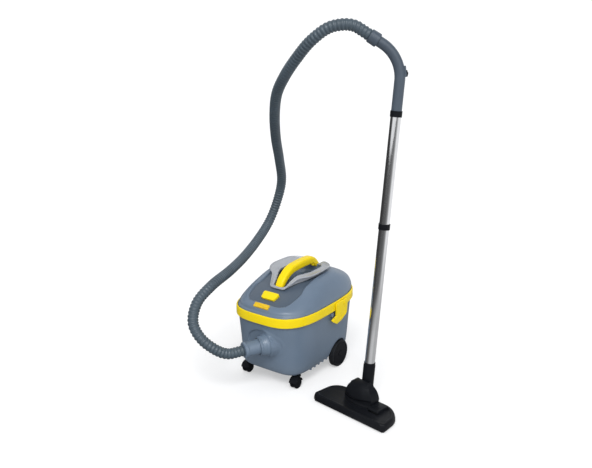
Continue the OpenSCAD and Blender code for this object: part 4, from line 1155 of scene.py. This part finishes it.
class VACUUM_OT_latches(bpy.types.Operator):
    """Makes the two side latches with their turned-in toes"""

    bl_idname = "vacuum.latches"
    bl_label = "Latches"

    def execute(self, context):
        low, high = (corner[0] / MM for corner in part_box("latch_right"))
        low, high = low - TUB_MIDDLE.x / MM, high - TUB_MIDDLE.x / MM
        side_on = TUB @ moved(0, PIN_Y, PIN_Z) @ SIDE_ON
        right = prism("latch_plate_right", LATCH, side_on, low, high, bevel=1.1, corner=2.2)
        combine(right, prism("finger_dip", FINGER_DIP, side_on, high - 0.9, high + 2, corner=3))
        combine(right, cylinder("pin_bore", side_on, PIN_BORE_R, low - 1, high + 1, 48))
        left = mirrored_copy(right, "latch_plate_left")
        dress(right, "latch_right", "yellow_plastic", ["latch_right"])
        dress(left, "latch_left", "yellow_plastic", ["latch_left"])
        return {"FINISHED"}


# ---------------------------------------------------------------- floor head

HEAD_W, HEAD_DEPTH, HEAD_TOP = 292, 112, 28
DECK_Z = HEAD_TOP - 1.6                         # the head's top lies inside a raised rim
# Rings of the floor head and of its hollow: inset, height
HEAD_ROWS = [
    (2, 4), (0.6, 5), (0, 7), (0.2, 13), (1.2, 20), (2.4, 24.2), (3.1, 26.2), (4, 27.4),
    (5.2, HEAD_TOP), (9.4, HEAD_TOP), (10.4, 27.6), (11.4, 26.8), (12.6, DECK_Z)]
HEAD_HOLLOW = [(5, 0), (5, 8), (9, 22)]
ELBOW_R, CHEEK_U = 17, 22
PEDAL_U, PEDAL_V, PEDAL_W = 71, 70, 38
PEDAL_LEFT, PEDAL_RIGHT, PEDAL_PIN_Z = PEDAL_U - PEDAL_W / 2, PEDAL_U + PEDAL_W / 2, HEAD_TOP - 5
# The pedal's section: place along the head from its pin, height
PEDAL = [(-28, 29), (-27.2, 33.2), (-25.2, 35.2), (-20, 35.9), (0, 36.9), (20, 36.4), (25, 35.8),
         (27.2, 33.8), (28, 30), (6, 19), (-6, 19)]
ROLLER_U, ROLLER_V, ROLLER_R = 103, 82, 8
BRUSH_ROWS, BRUSH_LOW, BRUSH_HIGH = (18, 66), 3, 11
TUFT_END, TUFT_PITCH, TUFT_HAIRS = 2.5, 4.6, 9
HOOD_V, HOOD_HALF_W, HOOD_FRONT, HOOD_REAR, HOOD_H = 73.8, 63.5, 31, 36, 72


def head_outline(inset, left_round=46, right_round=70):
    """Outline of the floor head: chamfered front corners and well rounded rear ones"""
    w, d = HEAD_W / 2 - inset, HEAD_DEPTH - inset
    sides = []
    for big in (right_round, left_round):
        side = [(w - 13 + k * 0.6, inset + 0.25 * k * k) for k in (0, 1, 2)]
        side += [(w - 1.6, inset + 7), (w - 0.6, inset + 8.6), (w - 0.2, inset + 10.5)]
        side += [(w - 74 + 70 - big + big * math.cos(a), d - big + big * math.sin(a))
                 for a in (math.radians(4 + 86 * k / 24) for k in range(25))]
        sides.append(side)
    return sides[0] + [(-u, v) for u, v in reversed(sides[1])]


def head_ring(inset, z, **rounds):
    """The floor head's outline at one height"""
    return [(u, v, z) for u, v in head_outline(inset, **rounds)]


def across_head(v, z):
    """Frame on the floor head whose Z runs along the head's width"""
    return HEAD @ moved(0, v, z) @ turned(90, "Y")


class VACUUM_OT_floor_head(bpy.types.Operator):
    """Makes the floor head's base, its hood and the rocking pedal"""

    bl_idname = "vacuum.floor_head"
    bl_label = "Floor head"

    def execute(self, context):
        self.base()
        self.hood()
        self.pedal()
        return {"FINISHED"}

    def base(self):
        """The head's shell with its raised rim, pin ears, roller blocks and openings"""
        base = loft("head_shell", [head_ring(*row) for row in HEAD_ROWS], HEAD)
        combine(base, loft("hollow", [head_ring(*row, left_round=70) for row in HEAD_HOLLOW], HEAD))
        for t in (-1, 1):
            u = PEDAL_U + t * (PEDAL_W / 2 + 3)
            combine(base, block("pin_ear", HEAD, (u - 2.2, PEDAL_V - 8, HEAD_TOP - 12),
                                (u + 2.2, PEDAL_V + 8, HEAD_TOP - 0.8), 1), "UNION")
            for q in (-1, 1):
                u = t * ROLLER_U + q * 9.5
                combine(base, block("roller_block", HEAD, (u - 2, ROLLER_V - 8, 4.3),
                                    (u + 2, ROLLER_V + 8, 24)), "UNION")
        combine(base, cylinder("barrel_room", across_head(PIVOT_V, PIVOT_Z), ELBOW_R + 1,
                               -CHEEK_U, CHEEK_U, 96))
        combine(base, block("pedal_room", HEAD, (PEDAL_LEFT - 0.5, 40.5, 16),
                            (PEDAL_RIGHT + 0.5, 99.5, 50)))
        combine(base, cylinder("pin_bore", across_head(PEDAL_V, PEDAL_PIN_Z), 2.55, PEDAL_LEFT - 8,
                               PEDAL_RIGHT + 8, 40))
        for t in (-1, 1):
            combine(base, cylinder("roller_bore", across_head(ROLLER_V, ROLLER_R), 2.05,
                                   t * ROLLER_U - 14, t * ROLLER_U + 14, 40))
        dress(base, "floor_head", "black_plastic", ["head_base"], angle=28)

    def hood(self):
        """The round cowl over the elbow, with its visor"""
        sides, rows, power = 288, 56, 2.4
        rings = []
        for k in range(rows + 1):
            up = HOOD_H * math.sin(math.pi / 2 * k / rows) * 0.999
            size = (1 - (up / HOOD_H) ** power) ** (1 / power)
            ring = []
            for u, v, z in oblong(HOOD_HALF_W * size, size, power, DECK_Z - 0.2 + up, 0, sides):
                ring.append((u, HOOD_V + v * (HOOD_FRONT if v < 0 else HOOD_REAR), z))
            rings.append(ring)
        hood = loft("head_cowl", rings, HEAD)
        sink(hood, self.cowl_depth, HEAD)
        combine(hood, block("elbow_slot", HEAD, (-CHEEK_U, PIVOT_V - ELBOW_R - 3.5, 20),
                            (CHEEK_U, 240, 160)))
        combine(hood, block("rear_cut", HEAD, (-90, HEAD_DEPTH - 1, 20), (90, 170, 140)))
        combine(hood, cylinder("trunnion_bore", across_head(PIVOT_V, PIVOT_Z), 6.05,
                               -CHEEK_U - 10, CHEEK_U + 10, 64))
        combine(hood, block("pedal_room", HEAD, (PEDAL_LEFT - 0.6, 38, 20), (120, 104, 44)))
        dress(hood, "floor_head", "black_plastic", ["head_hood"], angle=34)

    def cowl_depth(self, p):
        """The visor stands proud of the cowl, with the hollow under its lip"""
        lip = 45.5 + max(p.x, 0) * 0.18
        width = 42 - 0.16 * max(p.z - 50, 0)
        inside = smooth_step((width - abs(p.x)) / 2.4)
        front = smooth_step((96 - p.y) / 12)
        above = smooth_step((p.z - lip) / 1.8)
        below = smooth_step((lip - p.z) / 4) * smooth_step((p.z - DECK_Z - 1) / 9)
        return front * inside * (-3.0 * above + 3.2 * below)

    def pedal(self):
        """The rocking pedal with its tread grooves and pin"""
        across = HEAD @ moved(PEDAL_U, PEDAL_V, 0) @ SIDE_ON
        pedal = prism("pedal_plate", PEDAL, across, -PEDAL_W / 2, PEDAL_W / 2, bevel=1.0)
        for k in range(5):
            v = PEDAL_V - 21 + k * 4
            combine(pedal, block("tread_groove", HEAD, (PEDAL_U - 13, v, 35.2),
                                 (PEDAL_U + 13, v + 1.4, 40)))
        pin = cylinder("pin", across_head(PEDAL_V, PEDAL_PIN_Z), 2.5, PEDAL_LEFT - 4.5,
                       PEDAL_RIGHT + 4.5, 40)
        combine(pedal, pin, "UNION")
        dress(pedal, "pedal", "black_plastic", ["pedal"])


class VACUUM_OT_brushes(bpy.types.Operator):
    """Makes the two brush strips, tuft by tuft"""

    bl_idname = "vacuum.brushes"
    bl_label = "Brushes"

    def execute(self, context):
        half = HEAD_W / 2 - 31
        for name, v in zip(("brush_front", "brush_rear"), BRUSH_ROWS):
            strip = block(name + "_strip", HEAD, (-half, v - 2.4, BRUSH_HIGH - 2.2),
                          (half, v + 2.4, BRUSH_HIGH), 0.4)
            count = int(2 * (half - TUFT_END) / TUFT_PITCH)
            points, faces = [], []
            for k in range(count + 1):
                u = -half + TUFT_END + k * 2 * (half - TUFT_END) / count
                for hair in range(TUFT_HAIRS):
                    turn = hair * 2.4 + k
                    away = 0.55 * math.sqrt(hair)
                    root = Vector((u + away * math.cos(turn), v + away * math.sin(turn)))
                    splay = Vector((math.cos(turn * 1.7), math.sin(turn * 2.3)))
                    tip = root + splay * 0.28 + (root - Vector((u, v))) * 0.35
                    low = BRUSH_LOW + 0.5 * (0.5 + 0.5 * math.sin(hair * 5.1 + k * 1.3))
                    start = len(points)
                    for place, z, thick in ((root, BRUSH_HIGH - 1, 0.24), (tip, low, 0.17)):
                        for corner in range(3):
                            a = corner * 2.0944 + turn
                            points.append((place.x + thick * math.cos(a),
                                           place.y + thick * math.sin(a), z))
                    for corner in range(3):
                        after = (corner + 1) % 3
                        faces.append((start + corner, start + 3 + corner, start + 3 + after,
                                      start + after))
                    faces.append((start, start + 1, start + 2))
                    faces.append((start + 5, start + 4, start + 3))
            tufts = mesh_piece(name + "_tufts", points, faces, HEAD)
            dress(tufts, "brush", "bristle")
            dress(strip, "brush", "bristle", [name])
            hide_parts(name)
        return {"FINISHED"}


# ---------------------------------------------------------------- bag and filter

# The half filled bag: height, half width, half length, squareness, shift to the rear
BAG_ROWS = [
    (0, 62, 92, 2.4, 3), (1.5, 80, 113, 2.8, 4), (6, 89, 126, 3, 3), (14, 92, 131.5, 3, 2),
    (34, 94, 135, 3, 1), (52, 93.5, 134, 3, 0), (70, 88, 127, 2.9, -3), (82, 78, 114, 2.8, -6),
    (88, 60, 90, 2.6, -8), (90.5, 34, 52, 2.3, -8)]
# The bag's neck on the inlet's spigot: radius, height in the inlet's frame
NECK_ROWS = [(24.6, -60), (24.8, -66), (27.5, -74), (31, -86), (33, -98), (30, -108)]

class VACUUM_OT_soft_parts(bpy.types.Operator):
    """Makes the dust bag and the cloth filter"""

    bl_idname = "vacuum.soft_parts"
    bl_label = "Bag and filter"

    def execute(self, context):
        self.dust_bag()
        self.cloth_filter()
        return {"FINISHED"}

    def dust_bag(self):
        """A half filled bag: a slumped body with creases, and its mouth on the spigot"""
        low = UNDERSIDE + sizes().wall / MM + 0.6
        bag = loft("dust_bag_cloth", [oblong(w, l, n, low + up, shift, 160)
                                      for up, w, l, n, shift in spline(BAG_ROWS, 5)])

        def crease(p):
            high = smooth_step((p.z - low - 3) / 30)
            fold = noise.noise(Vector((p.x, p.y, p.z)) / 34) + 0.5 * noise.noise(
                Vector((p.x, p.y, p.z * 1.6)) / 13)
            return (1.6 + 2.6 * fold) * (0.25 + 0.75 * high)

        sink(bag, crease)
        neck = []
        for k, (radius, depth) in enumerate(spline(NECK_ROWS, 4)):
            ring = []
            for a in circle(96):
                gather = 0.7 * math.sin(11 * a) * min(k / 6, 1)
                ring.append(((radius + gather) * math.cos(a), (radius + gather) * math.sin(a),
                             depth))
            neck.append(ring)
        sleeve = loft("bag_neck_cloth", list(reversed(neck)), INLET)
        combine(sleeve, cylinder("mouth", INLET, 24.0, -80, -50, 96))
        combine(bag, sleeve, "UNION")
        dress(bag, "machine", "cloth", ["dust_bag"], angle=50)

    def cloth_filter(self):
        """A cup of gathered cloth round the filter cage"""
        centre = TUB @ moved(0, 20, 0)
        outer, inner = 77.9, 74.5
        low, high = (corner[2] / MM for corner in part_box("cloth_filter"))

        def ring(radius, z, fold, wall):
            points = []
            for a in circle(288):
                wave = 0.5 + 0.5 * math.sin(36 * a + 0.6 * math.sin(5 * a) + z * 0.012)
                r = radius + fold * (outer - inner - 1.1) * wave + wall
                points.append((r * math.cos(a), r * math.sin(a), z))
            return points

        rings = [ring(r, low + 0.2, 0, 0) for r in (2, 25, 50, 66)]
        rings += [ring(72, low + 0.4, 0.2, 0), ring(73.6, low + 1.4, 0.6, 0.4)]
        rings += [ring(inner, z, 1, 0.9) for z in (low + 4, low + 20, low + 45, low + 70, high - 8)]
        rings += [ring(inner, high - 6, 0.6, 1.6), ring(inner, high - 5, 0, 2.6),
                  ring(inner, high - 0.6, 0, 2.6), ring(inner, high, 0, 1.6),
                  ring(inner, high, 0, 0.6), ring(inner, high - 5, 0, 0.3)]
        rings += [ring(inner, z, 1, 0.1) for z in (high - 8, low + 70, low + 45, low + 20)]
        rings += [ring(inner - 1, low + 3.3, 0.2, 0), ring(60, low + 3.0, 0, 0),
                  ring(20, low + 3.0, 0, 0), ring(2, low + 3.0, 0, 0)]
        sock = loft("filter_cloth", rings, centre)
        dress(sock, "motor_head", "cloth", ["cloth_filter"], angle=60)


# ---------------------------------------------------------------- panel and start

STEPS = (VACUUM_OT_finishes, VACUUM_OT_stage, VACUUM_OT_hose, VACUUM_OT_tub, VACUUM_OT_dome,
         VACUUM_OT_band, VACUUM_OT_handle, VACUUM_OT_button, VACUUM_OT_latches,
         VACUUM_OT_floor_head, VACUUM_OT_brushes, VACUUM_OT_soft_parts)


class VACUUM_PT_panel(bpy.types.Panel):
    bl_idname = "VACUUM_PT_panel"
    bl_label = "Tub vacuum cleaner"
    bl_space_type = "VIEW_3D"
    bl_region_type = "UI"
    bl_category = "Vacuum"

    def draw(self, context):
        for group in (colours(), sizes()):
            box = self.layout.box()
            for name in group.bl_rna.properties.keys():
                if name not in ("rna_type", "name"):
                    box.prop(group, name)
        for step in STEPS:
            self.layout.operator(step.bl_idname)


CLASSES = (VacuumColours, VacuumSizes, *STEPS, VACUUM_PT_panel)


def register():
    for cls in CLASSES:
        bpy.utils.register_class(cls)
    bpy.types.Scene.vacuum_colours = PointerProperty(type=VacuumColours)
    bpy.types.Scene.vacuum_sizes = PointerProperty(type=VacuumSizes)


def unregister():
    del bpy.types.Scene.vacuum_sizes
    del bpy.types.Scene.vacuum_colours
    for cls in reversed(CLASSES):
        bpy.utils.unregister_class(cls)


def main():
    register()
    for step in STEPS:
        group, name = step.bl_idname.split(".")
        getattr(getattr(bpy.ops, group), name)()


if __name__ == "__main__":
    main()
